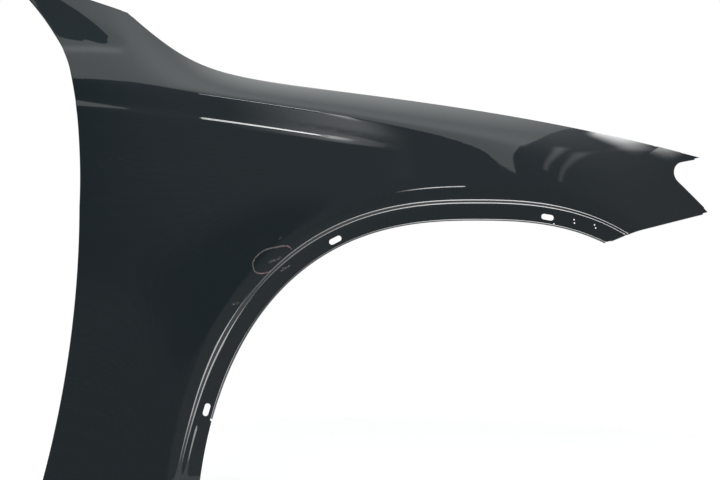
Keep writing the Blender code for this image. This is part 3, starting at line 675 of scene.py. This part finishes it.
# %% Rows of points along the tight forms: how many millimetres each row lies from its form
ROW_STEP = 0.0055
ROW_CLEAR = 0.0028
SEAT_ROWS = (-4, -2.8, -2, -1.4, -0.9, -0.4, 0, 0.5, 1.1, 1.75,
             2.4, 3, 3.5, 3.9, 4.4, 4.9, 5.5, 6.3, 7.6)
FOOT_ROWS = (-13, -11.7, -10.8, -10.1, -9.5, -8.9, -8.2, -7.3, -6)
FLARE_ROWS = (-13, -9, -6, -3.5, -1.2, 1.2, 3.5, 6, 9, 13, 18, 24, 31, 40, 50)
CREASE_ROWS = (-9, -6, -4, -2.6, -1.5, -0.5, 0.5, 1.5, 2.6, 4, 6, 9)
LEDGE_ROWS = (-4.5, -3, -2, -1.2, -0.4, 0.5, 1.5, 2.5, 3.5, 4.5, 5.4, 6.2, 7, 8.2, 10)

rows = [arch_line(mm / 1000, along_seat=True) for mm in SEAT_ROWS]
foot_rows = [arch_line(mm / 1000, along_seat=True) for mm in FOOT_ROWS]
rows += [row[rear_side(row) & (row[:, 1] < S["Foot end z"] + 0.02)] for row in foot_rows]
rows += [arch_line(S["Flare start"] + mm / 1000) for mm in FLARE_ROWS]
x = np.linspace(DOOR_X - 0.02, NOTCH_TOP_X, 500)
rows += [np.column_stack((x, shoulder_z(x, S) + mm / 1000)) for mm in CREASE_ROWS]
x = x[x < S["Ledge end x"] + 0.01]
rows += [np.column_stack((x, shoulder_z(x, S) - S["Ledge drop"] + mm / 1000)) for mm in LEDGE_ROWS]
rim = tree_of(LOOP)
ROWS = []
for row in rows:
    row = even(row, ROW_STEP, 0.0)
    row = row[inside(row, LOOP) & (gaps(row, rim) > ROW_CLEAR)]
    breaks = np.nonzero(np.linalg.norm(np.diff(row, axis=0), axis=1) > 1.5 * ROW_STEP)[0] + 1
    ROWS += [part for part in np.split(row, breaks) if len(part) > 1]
taken = np.vstack([LOOP, *ROWS, *HOLES])
fine = spread(0.0028, taken, dish_area)
taken = np.vstack((taken, fine))
coarse = spread(0.0062, taken, lambda p: ~dish_area(p))
print("blank points:", len(taken) + len(coarse))


# %% The blank as one flat mesh, with its flanges marked for folding
class Blank:
    """Flat points and faces. A flange point keeps the place of its edge point, and how it folds."""

    def __init__(self):
        self.rows, self.faces, self.count = [], [], 0

    def add(self, place, faces, out=0.0, leave=0.0, fold=0.0, skin=0.0):
        """One row for each point: its place, the way out, the fold, how far it leaves, and skin."""
        row = np.zeros((len(place), 11))
        row[:, 0:3:2], row[:, 3:6:2], row[:, 6:9] = place, out, fold
        row[:, 9], row[:, 10] = leave, skin
        self.rows.append(row)
        self.faces += [tuple(int(self.count + k) for k in face) for face in faces]
        self.count += len(place)


def triangulated(loop, holes, lines, points):
    """Fills a flat loop with triangles round its holes and along its lines."""
    parts = [loop, *holes, *lines, points]
    edges, start = [], 0
    for index, part in enumerate(parts[:-1]):
        closed = index <= len(holes)
        edges += [(start + k, start + (k + 1) % len(part)) for k in range(len(part) - (not closed))]
        start += len(part)
    flat = np.vstack([part for part in parts if len(part)])
    result = delaunay_2d_cdt([Vector(p) for p in flat], edges, [], 0, 1e-7)
    corners = np.array([tuple(v) for v in result[0]])
    faces = np.array(result[2])
    middle = corners[faces].mean(axis=1)
    wanted = inside(middle, loop)
    for hole in holes:
        wanted &= ~inside(middle, hole)
    return corners, faces[wanted]


blank = Blank()
corners, faces = triangulated(LOOP, HOLES, ROWS, np.vstack((fine, coarse)))
blank.add(corners, faces, skin=1.0)
print("skin of the blank:", len(corners), "points,", len(faces), "triangles")

# %% [markdown]
# ## Flanges
#
# Along its edges the sheet turns inboard into narrow flanges. Each starts with a small rolled
# radius, which is what catches the light along the rim of the panel. A flange is first laid out
# flat as distance along the edge by distance across it, with its holes in place, and then each
# point is told how far it leaves along the skin and which way it folds. The wing rail flange at the
# top also drops as a wall, and widens into four level pads, each with a bolt hole.

# %% Flange helpers
ROLL = 0.0025
FLANGE_STEP = 0.0045
LEAF_CLEAR = 0.002


def unit(x, y, z):
    return np.array((x, y, z)) / math.sqrt(x * x + y * y + z * z)


INBOARD, DOWN, UP = unit(0, 1, 0), unit(0, 0, -1), unit(0, 0, 1)


def edge_out(line):
    """At each point of an edge, the flat direction that leaves the panel."""
    travel = np.gradient(line, axis=0)
    travel = travel / np.linalg.norm(travel, axis=1)[:, None]
    return np.column_stack((travel[:, 1], -travel[:, 0]))


def strip(count, rows):
    """Quads between neighbouring rows that have the same number of points."""
    return [(r * count + k, r * count + k + 1, (r + 1) * count + k + 1, (r + 1) * count + k)
            for r in range(rows - 1) for k in range(count - 1)]


def add_rows(chain, leave, folds):
    """Rows of points that run on from an edge: how far each row leaves, and how it folds."""
    n, count = len(chain), len(folds)
    blank.add(np.tile(chain, (count, 1)), strip(n, count), np.tile(edge_out(chain), (count, 1)),
              np.repeat(leave, n), np.vstack(folds))


def add_roll(chain, folded, roll=ROLL, steps=6):
    """The rolled radius from the skin into a flange."""
    angles = np.linspace(0, math.pi / 2, steps + 1)
    add_rows(chain, roll * np.sin(angles),
             [np.tile(roll * (1 - np.cos(a)) * folded, (len(chain), 1)) for a in angles])


def add_leaf(chain, folded, depths, holes=(), roll=ROLL, folder=None):
    """The flat of a flange, with holes, laid out as distance along by distance across."""
    along = lengths_along(chain)
    out = edge_out(chain)
    depths = np.broadcast_to(depths, along.shape)
    outline = np.vstack((np.column_stack((along, np.zeros(len(along)))),
                         np.column_stack((along, depths))[::-1]))
    across = np.arange(FLANGE_STEP, float(depths.max()), FLANGE_STEP)
    inner = np.array([(a, d) for a, reach in zip(along[1:-1], depths[1:-1])
                      for d in across if d < reach - LEAF_CLEAR])
    if len(inner) and len(holes):
        inner = inner[gaps(inner, tree_of(np.vstack(holes))) > LEAF_CLEAR]
        for hole in holes:
            inner = inner[~inside(inner, hole)]
    corners, faces = triangulated(outline, list(holes), [], inner.reshape(-1, 2))
    place, away = (np.column_stack([np.interp(corners[:, 0], along, side[:, k]) for k in (0, 1)])
                   for side in (chain, out))
    fold = folder(place, corners) if folder else (roll + corners[:, 1:2]) * folded
    blank.add(place, faces, away, roll, fold)


def add_flange(chain, folded, depths, holes=(), roll=ROLL):
    add_roll(chain, folded, roll)
    add_leaf(chain, folded, depths, holes, roll)


CHAINS = {name: line[1:-1] for name, line in EDGES.items()}
print("edges with flanges:", [name for name in CHAINS if name not in ("foot", "tip")])

# %% Plain flanges, and those with holes for clips and bolts
LIP_DEPTH = 0.013
NOTCH_DEPTH = 0.008
BUMPER_DEPTH = 0.018
BUMPER_CLIPS = 3
COWL_DEPTH = 0.009
DOOR_DEPTH = 0.014
TAB_DEPTHS = (0.024, 0.030)
TAB_CORNER = 0.0055
SILL_DEPTH = 0.037
SILL_BOLT_XS = (-0.640, -0.510)
SILL_BOLT_REACH = 0.024
BOLT_RADIUS = 0.0045
HOOD_DEPTH = 0.006
nose_fold = unit(-0.40, 1, 0)

add_flange(CHAINS["lip"], INBOARD, LIP_DEPTH, roll=LIP_ROLL)
add_flange(CHAINS["notch"], nose_fold, NOTCH_DEPTH)

length = lengths_along(CHAINS["bumper"])[-1]
clips = [stadium((length * (k + 0.5) / BUMPER_CLIPS, 0.009), (1, 0), (0.016, 0.007))
         for k in range(BUMPER_CLIPS)]
add_flange(CHAINS["bumper"], nose_fold, BUMPER_DEPTH, clips)
add_flange(CHAINS["cowl"], unit(0.2, 0.5, -1.0), COWL_DEPTH)

chain = CHAINS["door"]
middle = reach_stop(chain, 1, DOOR_STRAIGHT_Z)
from_middle = np.abs(lengths_along(chain) - middle)
depths = np.full(len(chain), DOOR_DEPTH)
depths[from_middle < TAB_HALF + 0.0005] = TAB_DEPTHS[0]
depths[from_middle < TAB_HALF - TAB_CORNER] = TAB_DEPTHS[1]
add_flange(chain, unit(0.10, 1, 0), depths, [circle((middle, 0.016), BOLT_RADIUS)])

chain = CHAINS["sill"]
bolts = [float(np.interp(x, chain[:, 0], lengths_along(chain))) for x in SILL_BOLT_XS]
add_flange(chain, INBOARD, SILL_DEPTH, [circle((a, SILL_BOLT_REACH), BOLT_RADIUS) for a in bolts])
print("flanges so far:", blank.count, "points")

# %% The rail flange: wall, fold, flat and bolt pads
RAIL_FOLD = 0.003
RAIL_DROP = 0.020
RAIL_DEPTH = 0.015
PAD_DEPTH = 0.034
PAD_BOLT_REACH = 0.014
RAIL_CLEAR = 0.004
HOOD_END_X = 0.375


def rail_drop(x):
    """How far the rail flange lies under the hood edge: it is level at each bolt pad."""
    drop = np.full(len(x), RAIL_DROP)
    for centre in PAD_XS:
        level = 1 - np.clip((np.abs(x - centre) - PAD_HALF) / PAD_BLEND, 0, 1)
        drop += level * (hood_z(x, S) - hood_z(centre, S) + RAIL_DROP - drop)
    return drop


def rail_fold(place, corners):
    inboard = RAIL_FOLD + corners[:, 1]
    return np.column_stack((0 * inboard, inboard, -rail_drop(place[:, 0])))


chain = CHAINS["hood"]
behind_rail = chain[:, 0] < RAIL_X[0] - RAIL_CLEAR
before_rail = chain[:, 0] > RAIL_X[1] + RAIL_CLEAR
for part in (chain[behind_rail], chain[before_rail & (chain[:, 0] < HOOD_END_X)]):
    add_flange(part, DOWN, HOOD_DEPTH)
rail = chain[(chain[:, 0] > RAIL_X[0] - RAIL_CLEAR) & (chain[:, 0] < RAIL_X[1] + RAIL_CLEAR)]
add_roll(rail, DOWN)
drop = rail_drop(rail[:, 0])
wall = [(0.0, ROLL + share * (drop - RAIL_FOLD - ROLL)) for share in (0.0, 0.4, 0.75)]
wall += [(RAIL_FOLD * (1 - math.cos(a)), drop - RAIL_FOLD * (1 - math.sin(a)))
         for a in np.linspace(0, math.pi / 2, 6)]
add_rows(rail, np.full(len(wall), ROLL),
         [np.column_stack((0 * drop, 0 * drop + inboard, -down)) for inboard, down in wall])
depths = np.full(len(rail), RAIL_DEPTH)
for centre in PAD_XS:
    depths[np.abs(rail[:, 0] - centre) < PAD_HALF + PAD_BLEND / 2] = PAD_DEPTH
bolts = [circle((reach_stop(rail, 0, x), PAD_BOLT_REACH), BOLT_RADIUS) for x in PAD_XS]
add_leaf(rail, DOWN, depths, bolts, folder=rail_fold)
print("blank with its flanges:", blank.count, "points,", len(blank.faces), "faces")

# %% [markdown]
# ## Pressing the blank
#
# The real blank is pressed between two dies, which give every point its depth at once. Geometry
# Nodes do the same here: one group holds the rule, and the pressing tree calls it at each point and
# at four places close by. The differences give the exact slope there, and so the exact direction
# of the surface. Measured on the facets, that direction would wobble a little from point to point,
# and a glossy dark paint would show every wobble.

# %% The rule as a node group
depth_group = bpy.data.node_groups.new("skin depth", "GeometryNodeTree")
float_inputs(depth_group, {"x": 0.0, "z": 0.0, **SIZES})
depth_group.interface.new_socket("Depth", in_out="OUTPUT", socket_type="NodeSocketFloat")
given = depth_group.nodes.new("NodeGroupInput").outputs
wires = {name: Wire(depth_group, given[name]) for name in ("x", "z", *SIZES)}
add_node(depth_group, "NodeGroupOutput", {"Depth": skin_depth(wires["x"], wires["z"], wires)})
print("the rule takes", len(depth_group.nodes), "nodes")

# %% Helpers for the trees
SLOPE_REACH = 0.0004
PAD_TO_MOUNT = 0.025
ORIGIN_X = PAD_XS[1]
ORIGIN = np.array((ORIGIN_X, float(hood_y(ORIGIN_X, S)) + ROLL + RAIL_FOLD + PAD_TO_MOUNT,
                   float(hood_z(ORIGIN_X, S)) - RAIL_DROP - SHEET))


def call_depth(tree, x, z, given):
    """Places the rule in a tree, wired to the tree's own size inputs."""
    values = {"x": x, "z": z, **{name: given[name] for name in SIZES}}
    node = add_node(tree, "GeometryNodeGroup", values, node_tree=depth_group)
    return Wire(tree, node.outputs["Depth"])


def slope(tree, given, near, far):
    """How fast the depth changes between two places that lie close on either side of a point."""
    return (call_depth(tree, *far, given) - call_depth(tree, *near, given)) / (2 * SLOPE_REACH)


def named(tree, name, kind):
    node = add_node(tree, "GeometryNodeInputNamedAttribute", {"Name": name}, data_type=kind)
    return node.outputs["Attribute"]


def new_tree(name, extra=()):
    """A tree with a geometry in and out, the sizes of the surface, and its origin."""
    tree = bpy.data.node_groups.new(name, "GeometryNodeTree")
    tree.interface.new_socket("Geometry", in_out="OUTPUT", socket_type="NodeSocketGeometry")
    kinds = (("Geometry", "Geometry"), *extra, ("Material", "Material"), ("Origin", "Vector"))
    for label, kind in kinds:
        tree.interface.new_socket(label, in_out="INPUT", socket_type="NodeSocket" + kind)
    float_inputs(tree, SIZES)
    return tree, tree.nodes.new("NodeGroupInput").outputs


def finish_tree(tree, geometry, given):
    """Ends a tree: its instances made real, and its material set."""
    real = add_node(tree, "GeometryNodeRealizeInstances", [geometry]).outputs[0]
    values = {"Geometry": real, "Material": given["Material"]}
    dress = add_node(tree, "GeometryNodeSetMaterial", values)
    add_node(tree, "NodeGroupOutput", {"Geometry": dress.outputs[0]})


# %% The pressing tree
press, given = new_tree("press the sheet")
x, _, z = split(press, add_node(press, "GeometryNodeInputPosition").outputs[0])
depth = call_depth(press, x, z, given)
slope_x = slope(press, given, (x - SLOPE_REACH, z), (x + SLOPE_REACH, z))
slope_z = slope(press, given, (x, z - SLOPE_REACH), (x, z + SLOPE_REACH))
out_x, _, out_z = split(press, named(press, "out", "FLOAT_VECTOR"))
fold_x, fold_y, fold_z = split(press, named(press, "fold", "FLOAT_VECTOR"))
origin_x, origin_y, origin_z = split(press, given["Origin"])
rise = slope_x * out_x + slope_z * out_z
leave = Wire(press, named(press, "leave", "FLOAT"))
leave = leave / root(out_x * out_x + out_z * out_z + rise * rise + 1e-12)
skin = Wire(press, named(press, "skin", "FLOAT"))
length = skin / root(slope_x * slope_x + slope_z * slope_z + 1)
keep_normal = add_node(press, "GeometryNodeStoreNamedAttribute", data_type="FLOAT_VECTOR", values={
    "Geometry": given["Geometry"], "Name": "facing",
    "Value": joined(press, slope_x * length, 0 - length, slope_z * length)})
set_place = add_node(press, "GeometryNodeSetPosition", {
    "Geometry": keep_normal.outputs[0],
    "Position": joined(press, x + leave * out_x + fold_x - origin_x,
                       depth + leave * rise + fold_y - origin_y,
                       z + leave * out_z + fold_z - origin_z)})
finish_tree(press, set_place.outputs[0], given)
print("the pressing tree has", len(press.nodes), "nodes")


# %% Running a tree
def add_object(name, data):
    thing = bpy.data.objects.new(name, data)
    bpy.context.collection.objects.link(thing)
    return thing


def run_tree(mesh, tree, name, material, **values):
    """Runs a node tree on a mesh with named input values. The result is a plain mesh."""
    values = {**SIZES, "Origin": ORIGIN.tolist(), "Material": material, **values}
    holder = add_object(name, mesh)
    modifier = holder.modifiers.new(tree.name, "NODES")
    modifier.node_group = tree
    for item in tree.interface.items_tree:
        if item.item_type == "SOCKET" and item.in_out == "INPUT" and item.name in values:
            modifier[item.identifier] = values[item.name]
    bpy.context.view_layer.update()
    evaluated = holder.evaluated_get(bpy.context.evaluated_depsgraph_get())
    result = bpy.data.meshes.new_from_object(evaluated)
    holder.modifiers.remove(modifier)
    bpy.data.objects.remove(holder)
    return result


flat = bpy.data.meshes.new("blank")
table = np.vstack(blank.rows)
flat.from_pydata(table[:, 0:3].tolist(), [], blank.faces)
for name, values in {"out": table[:, 3:6], "fold": table[:, 6:9],
                     "leave": table[:, 9], "skin": table[:, 10]}.items():
    kind, label = ("FLOAT_VECTOR", "vector") if values.ndim == 2 else ("FLOAT", "value")
    layer = flat.attributes.new(name, kind, "POINT")
    layer.data.foreach_set(label, values.astype(np.float32).ravel())
pressed = run_tree(flat, press, "blank", paint.material)
reach = np.ptp([v.co for v in pressed.vertices], axis=0)
print("pressed sheet:", np.round(reach * 1000, 1), "mm")

# %% [markdown]
# ## One sheet, two faces and an edge
#
# The pressed surface has no thickness yet. The sheet is closed by a copy of it, moved in by the
# 0.8 mm of the steel, and a narrow edge all round and in every hole. The outer face, the inner face
# and the edge keep their own directions for light, so the rim stays crisp.

# %% One skin: flange points merged with the edge points they stand on
# A skin point stores its exact direction, with length 1, and a flange point stores length 0.
STORED = 0.3
WELD = 2e-6
work = bmesh.new()
work.from_mesh(pressed)
facing = work.verts.layers.float_vector["facing"]
exact = [v for v in work.verts if v[facing].length > STORED]
lookup = tree_of([v.co for v in exact])
for v in work.verts:
    if v[facing].length < STORED:
        _, k, gap = lookup.find(v.co)
        if gap < WELD:
            v[facing] = exact[k][facing]
bmesh.ops.remove_doubles(work, verts=work.verts, dist=WELD)
bmesh.ops.recalc_face_normals(work, faces=work.faces)
if sum(face.normal.y * face.calc_area() for face in work.faces) > 0:
    bmesh.ops.reverse_faces(work, faces=work.faces)
work.verts.ensure_lookup_table()
points = np.array([v.co for v in work.verts])
normals = np.array([v[facing] if v[facing].length > STORED else v.normal for v in work.verts])
normals /= np.linalg.norm(normals, axis=1)[:, None]
outer = [[v.index for v in face.verts] for face in work.faces]
open_loops = [edge.link_loops[0] for edge in work.edges if len(edge.link_loops) == 1]
rim_edges = [(loop.vert.index, loop.link_loop_next.vert.index) for loop in open_loops]
work.free()
print("one skin:", len(points), "points,", len(rim_edges), "open edges")

# %% Close the sheet
count = len(points)
inner = [[k + count for k in face[::-1]] for face in outer]
rims = [[b, a, a + count, b + count] for a, b in rim_edges]
both = np.vstack((points, points - SHEET * normals))
panel_mesh = bpy.data.meshes.new("pressed_panel")
panel_mesh.from_pydata(both.tolist(), [], outer + inner + rims)
directions = [normals[k] for face in outer for k in face]
directions += [-normals[k - count] for face in inner for k in face]
for b, a, a2, _ in rims:
    flat_out = np.cross(both[a] - both[b], both[a2] - both[b])
    flat_out /= max(np.linalg.norm(flat_out), 1e-12)
    directions += [flat_out] * 4
panel_mesh.shade_smooth()
panel_mesh.normals_split_custom_set([tuple(d) for d in directions])
side = np.array([0] * len(outer) + [1] * len(inner) + [0] * len(rims), dtype=np.int32)
panel_mesh.polygons.foreach_set("material_index", side)
panel_mesh.materials.append(paint.material)
panel_mesh.materials.append(primer.material)
panel = add_object("pressed_panel", panel_mesh)
triangles = sum(len(face) - 2 for face in outer + inner + rims)
print("closed sheet:", triangles, "triangles,", len(rims), "edge faces")

# %% [markdown]
# ## Crayon ring and rubs
#
# Someone drew a ring on the real panel with a wax crayon, and there are a few pale rubs near it. A
# crayon leaves no even line: it lays down crumbs of wax wherever the surface catches it. The marks
# are therefore small flat flakes, scattered along a hand-drawn path by Geometry Nodes and set down
# on the sheet by the same rule that pressed it, so they follow every form under them. One tree
# serves the crayon and the rubs, with its own inputs for each.

# %% The tree that scatters flakes along a path
FLAKE_LIFT = 0.00005
wax_tree, given = new_tree("flakes along a path", [
    ("Spacing", "Float"), ("Spread", "Float"), ("Flake", "Float"), ("Cover", "Float"),
    ("Seed", "Int")])


def wax_node(kind, values=(), **options):
    return add_node(wax_tree, kind, values, **options).outputs[0]


def random_size(low, high, shift):
    """A random vector for each point, whose seed is the tree's own seed moved by a shift."""
    values = {0: low, 1: high, "Seed": Wire(wax_tree, given["Seed"]) + shift}
    return wax_node("FunctionNodeRandomValue", values, data_type="FLOAT_VECTOR")


def by_length(vector, number):
    return wax_node("ShaderNodeVectorMath", {0: vector, "Scale": number}, operation="SCALE")


path = wax_node("GeometryNodeMeshToCurve", [given["Geometry"]])
dots = wax_node("GeometryNodeResampleCurve", {"Curve": path, "Length": given["Spacing"]},
                mode="LENGTH")
aside = by_length(random_size((-0.5, 0.0, -0.5), (0.5, 0.0, 0.5), 1), given["Spread"])
dots = wax_node("GeometryNodeSetPosition", {"Geometry": dots, "Offset": aside})
worn = Wire(wax_tree, noise(wax_tree, wax_node("GeometryNodeInputPosition"), 210.0, 3.0))
flakes = wax_node("GeometryNodeInstanceOnPoints", {
    "Points": dots, "Selection": worn.math("LESS_THAN", given["Cover"]),
    "Instance": wax_node("GeometryNodeMeshIcoSphere", {"Radius": 1.0, "Subdivisions": 1}),
    "Scale": by_length(random_size((0.5, 0.20, 0.4), (1.4, 0.35, 0.9), 2), given["Flake"]),
    "Rotation": random_size((0.0, 0.0, 0.0), (0.0, 6.28, 0.0), 3)})
flakes = wax_node("GeometryNodeRealizeInstances", [flakes])
x, y, z = split(wax_tree, wax_node("GeometryNodeInputPosition"))
origin_x, origin_y, origin_z = split(wax_tree, given["Origin"])
depth = call_depth(wax_tree, x, z, given)
flakes = wax_node("GeometryNodeSetPosition", {
    "Geometry": flakes,
    "Position": joined(wax_tree, x - origin_x, depth + y - FLAKE_LIFT - origin_y, z - origin_z)})
finish_tree(wax_tree, flakes, given)
print("flake tree:", len(wax_tree.nodes), "nodes")


# %% Marks on the sheet
def marks_on_sheet(name, strokes, material, **values):
    """Draws strokes, each a few (x, z) places in layout coordinates, as flakes on the sheet."""
    places, edges = [], []
    for stroke in strokes:
        line = smooth(stroke, 10) if len(stroke) > 2 else np.array(stroke, float)
        edges += [(len(places) + k, len(places) + k + 1) for k in range(len(line) - 1)]
        places += [(x, 0.0, z) for x, z in line]
    mesh = bpy.data.meshes.new(name + "_path")
    mesh.from_pydata(places, edges, [])
    result = run_tree(mesh, wax_tree, name, material, **values)
    result.name = name
    print(name + ":", len(result.polygons), "faces")
    return add_object(name, result)


RING = (
    (-0.2866, 0.3750), (-0.2890, 0.3781), (-0.2926, 0.3806), (-0.2971, 0.3810), (-0.3041, 0.3803),
    (-0.3133, 0.3786), (-0.3232, 0.3764), (-0.3333, 0.3718), (-0.3414, 0.3653), (-0.3465, 0.3582),
    (-0.3484, 0.3522), (-0.3474, 0.3462), (-0.3446, 0.3400), (-0.3400, 0.3380), (-0.3333, 0.3373),
    (-0.3262, 0.3388), (-0.3205, 0.3414),
)
RUBS = (
    ((-0.3232, 0.3550), (-0.3140, 0.3580), (-0.3036, 0.3622)),
    ((-0.3034, 0.3415), (-0.2896, 0.3506)),
    ((-0.3070, 0.3930), (-0.3040, 0.3938)),
    ((-0.3810, 0.2884), (-0.3689, 0.2903)),
)
ring = marks_on_sheet("crayon_ring", [RING], crayon,
                      Spacing=0.00014, Spread=0.0019, Flake=0.00040, Cover=0.60, Seed=7)
rubs = marks_on_sheet("pale_rubs", RUBS, rub,
                      Spacing=0.00024, Spread=0.0036, Flake=0.00036, Cover=0.85, Seed=11)

# %% [markdown]
# ## A plain studio
#
# On a paint this dark the shapes are read from what they mirror. The deck mirrors a soft white
# ceiling, which ends on a slant before the nose and above the pillar dish, and the side mirrors the
# dim front of the room. Narrow lights above draw the bright lines on the ledge and the flare, and
# broad ones below draw the two edges of the trim seat. Two small lights close over the hood edge
# and two long ones high up give the soft blobs and streaks at the nose. A wide key light, kept out
# of the mirror, shows the paint's own colour.

# %% Camera
CAMERA = (-0.1785, -2.40, 0.3903)
camera = add_object("camera", bpy.data.cameras.new("camera"))
camera.location = np.array(CAMERA) - ORIGIN
camera.rotation_euler = (math.pi / 2, 0, 0)
camera.data.lens = 75.95
camera.data.sensor_width = 36
bpy.context.scene.camera = camera
bpy.context.scene.view_settings.view_transform = "Standard"
print("camera at", [round(v, 3) for v in camera.location])

# %% The room, drawn in the world
DIM = 0.20
MIDDLE = 0.17
UNDER = 0.10
PALE_RAYS = ("Is Camera Ray", "Is Glossy Ray", "Is Transmission Ray")


def ray_kinds(tree):
    """1 for each kind of ray that should see the pale background."""
    outputs = add_node(tree, "ShaderNodeLightPath").outputs
    return [Wire(tree, outputs[name]) for name in PALE_RAYS]


world = bpy.data.worlds.new("studio room")
bpy.context.scene.world = world
world.use_nodes = True
tree = world.node_tree
tree.nodes.clear()
to_x, to_y, to_z = split(tree, add_node(tree, "ShaderNodeTexCoord").outputs["Generated"])
behind = step_up(to_y, -0.10, 0.15)
past_edge = step_up(to_x - 0.62 * to_z + 0.20 * to_y, 0.0, 0.03)
dim = DIM + MIDDLE * step_up(to_x, -0.20, -0.08) + UNDER * step_up(0 - to_z, 0.0, 0.10)
room = dim + (1.0 - dim) * behind * (1 - past_edge)
seen, glossy, passing = ray_kinds(tree)
mirrored = glossy.math("MAXIMUM", passing)
backdrop = seen.math("MAXIMUM", mirrored * step_up(to_y, 0.6, 0.8) * (1 - past_edge))
strength = room + (1 - room) * backdrop
background = add_node(tree, "ShaderNodeBackground",
                      {"Color": (1.0, 1.0, 1.0, 1.0), "Strength": strength})
add_node(tree, "ShaderNodeOutputWorld", {"Surface": background.outputs[0]})
print("room drawn with", len(tree.nodes), "nodes")

# %% The ceiling: one large soft sheet of light with slanted ends
CEILING_Z = 2.10
CEILING = (
    (-2.4, -3.60), (-1.25, -3.60), (-0.93, -2.10), (-0.72, -1.25), (-0.60, -0.80),
    (-0.50, -0.53), (-0.36, -0.76), (-0.28, -0.68), (-0.15, -1.15), (1.30, -2.45),
    (1.62, -2.20), (1.02, 0.15), (0.90, 1.40), (0.85, 2.80), (-2.4, 2.80),
)
ceiling_mesh = bpy.data.meshes.new("ceiling")
corners = [(x - ORIGIN[0], y - ORIGIN[1], CEILING_Z - ORIGIN[2]) for x, y in CEILING]
ceiling_mesh.from_pydata(corners, [], [tuple(range(len(CEILING)))[::-1]])
ceiling = add_object("ceiling", ceiling_mesh)
ceiling.visible_camera = False
soft = Finish("soft_ceiling", Base_Color=(0.0, 0.0, 0.0, 1.0), Specular_IOR_Level=0.0,
              Emission_Color=(0.975, 1.0, 0.99, 1.0))
back = split(soft.tree, soft.place)[1]
level = 1.6 - 0.85 * step_up(back, 0.2 - ORIGIN[1], 1.4 - ORIGIN[1])
soft.set("Emission Strength", level * step_up(back, -3.6 - ORIGIN[1], -2.5 - ORIGIN[1]))
ceiling_mesh.materials.append(soft.material)
ceiling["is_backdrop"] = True
print("ceiling with", len(CEILING), "corners")


# %% Soft lights
def soft_light(name, place, facing, wide, tall, radiance, fade=(0.2, 0.2, 0.2, 0.2), roll=0.0,
               mirror_only=True):
    """An area light in the layout, dimmed softly towards its left, right, low and high end."""
    light = bpy.data.lights.new(name, "AREA")
    light.shape = "RECTANGLE"
    light.size = wide
    light.size_y = tall
    light.energy = radiance * math.pi * wide * tall
    light.use_nodes = True
    tree = light.node_tree
    u, v, _ = split(tree, add_node(tree, "ShaderNodeNewGeometry").outputs["Parametric"])
    level = (step_up(u, 0.0, fade[0]) * step_up(1 - u, 0.0, fade[1])
             * step_up(v, 0.0, fade[2]) * step_up(1 - v, 0.0, fade[3]))
    tree.links.new(level.socket, tree.nodes["Emission"].inputs["Strength"])
    thing = add_object(name, light)
    thing.location = np.array(place) - ORIGIN
    # Taken from 0, because a negative zero in the direction turns the light half round.
    turn = Vector(0 - np.array(facing)).to_track_quat("Z", "Y").to_matrix()
    thing.rotation_euler = (turn @ Matrix.Rotation(math.radians(roll), 3, "Z")).to_euler()
    thing.visible_camera = False
    thing.visible_diffuse = not mirror_only
    thing.visible_glossy = mirror_only


soft_light("key", (-0.6, -3.2, 2.0), (0.45, 3.2, -1.6), 2.0, 1.4, 9.5, mirror_only=False)
soft_light("ledge_strip", (-0.311, -0.35, 1.07), (0.0, 0.35, -0.49), 0.258, 0.042, 21,
           (0.03, 0.05, 0.3, 0.3))
soft_light("ledge_tail", (-0.18, -0.35, 0.90), INBOARD, 0.05, 0.30, 7, (0.3, 0.3, 0.9, 0.1))
soft_light("flare_strip", (0.13, -1.2, 0.718), (0.0, 1.2, -0.248), 0.34, 0.075, 17,
           (0.5, 0.03, 0.4, 0.4), 5.5)
soft_light("shoulder_glow", (-0.235, -0.30, 0.79), INBOARD, 0.38, 0.30, 1.8, (0.7, 0.45, 0.1, 0.4))
soft_light("low_panel", (0.665, -0.825, -0.06), UP, 1.37, 1.15, 18, (0.05, 0.1, 0.1, 0.1))
soft_light("low_left_panel", (-0.2025, -0.825, -0.06), UP, 0.295, 1.15, 11, (0.2, 0.35, 0.1, 0.1))
soft_light("low_foot_panel", (-0.23, -0.225, -0.06), UP, 0.22, 0.25, 5.5, (0.1, 0.1, 0.1, 0.1))
soft_light("hood_line", (0.3305, 0.219, 0.65), DOWN, 0.184, 0.049, 14.0, (0.6, 0.18, 0.05, 0.8), -9)
soft_light("hood_glow", (0.455, 0.208, 0.65), DOWN, 0.20, 0.046, 9.5, (0.3, 0.1, 0.1, 0.4), -12)
soft_light("nose_streak", (1.60, -0.17, 2.1), DOWN, 2.2, 0.18, 0.8, (0.1, 0.1, 0.5, 0.5), -67.5)
soft_light("nose_streak_low", (1.95, -0.25, 2.1), DOWN, 2.3, 0.18, 0.6, (0.1, 0.1, 0.5, 0.5), -62)
print("lights placed:", len(bpy.data.lights))

# %% Floor
floor_mesh = bpy.data.meshes.new("floor")
work = bmesh.new()
bmesh.ops.create_circle(work, cap_ends=True, segments=96, radius=0.95)
work.to_mesh(floor_mesh)
work.free()
floor = add_object("floor", floor_mesh)
floor.location = (0, 0.50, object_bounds()[0][2] - 0.002)
pale = Finish("pale_floor", Base_Color=(0.80, 0.80, 0.80, 1.0), Roughness=0.9,
              Emission_Color=(1.0, 1.0, 1.0, 1.0))
seen, glossy, passing = ray_kinds(pale.tree)
pale.set("Emission Strength", seen.math("MAXIMUM", glossy.math("MAXIMUM", passing)) * 0.35)
floor_mesh.materials.append(pale.material)
floor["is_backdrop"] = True
print("floor under the panel at z =", round(floor.location.z, 4))

# %% Hand the pieces over
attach(panel, "root")
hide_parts("fender_panel")
for mark in (ring, rubs):
    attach(mark, "root")
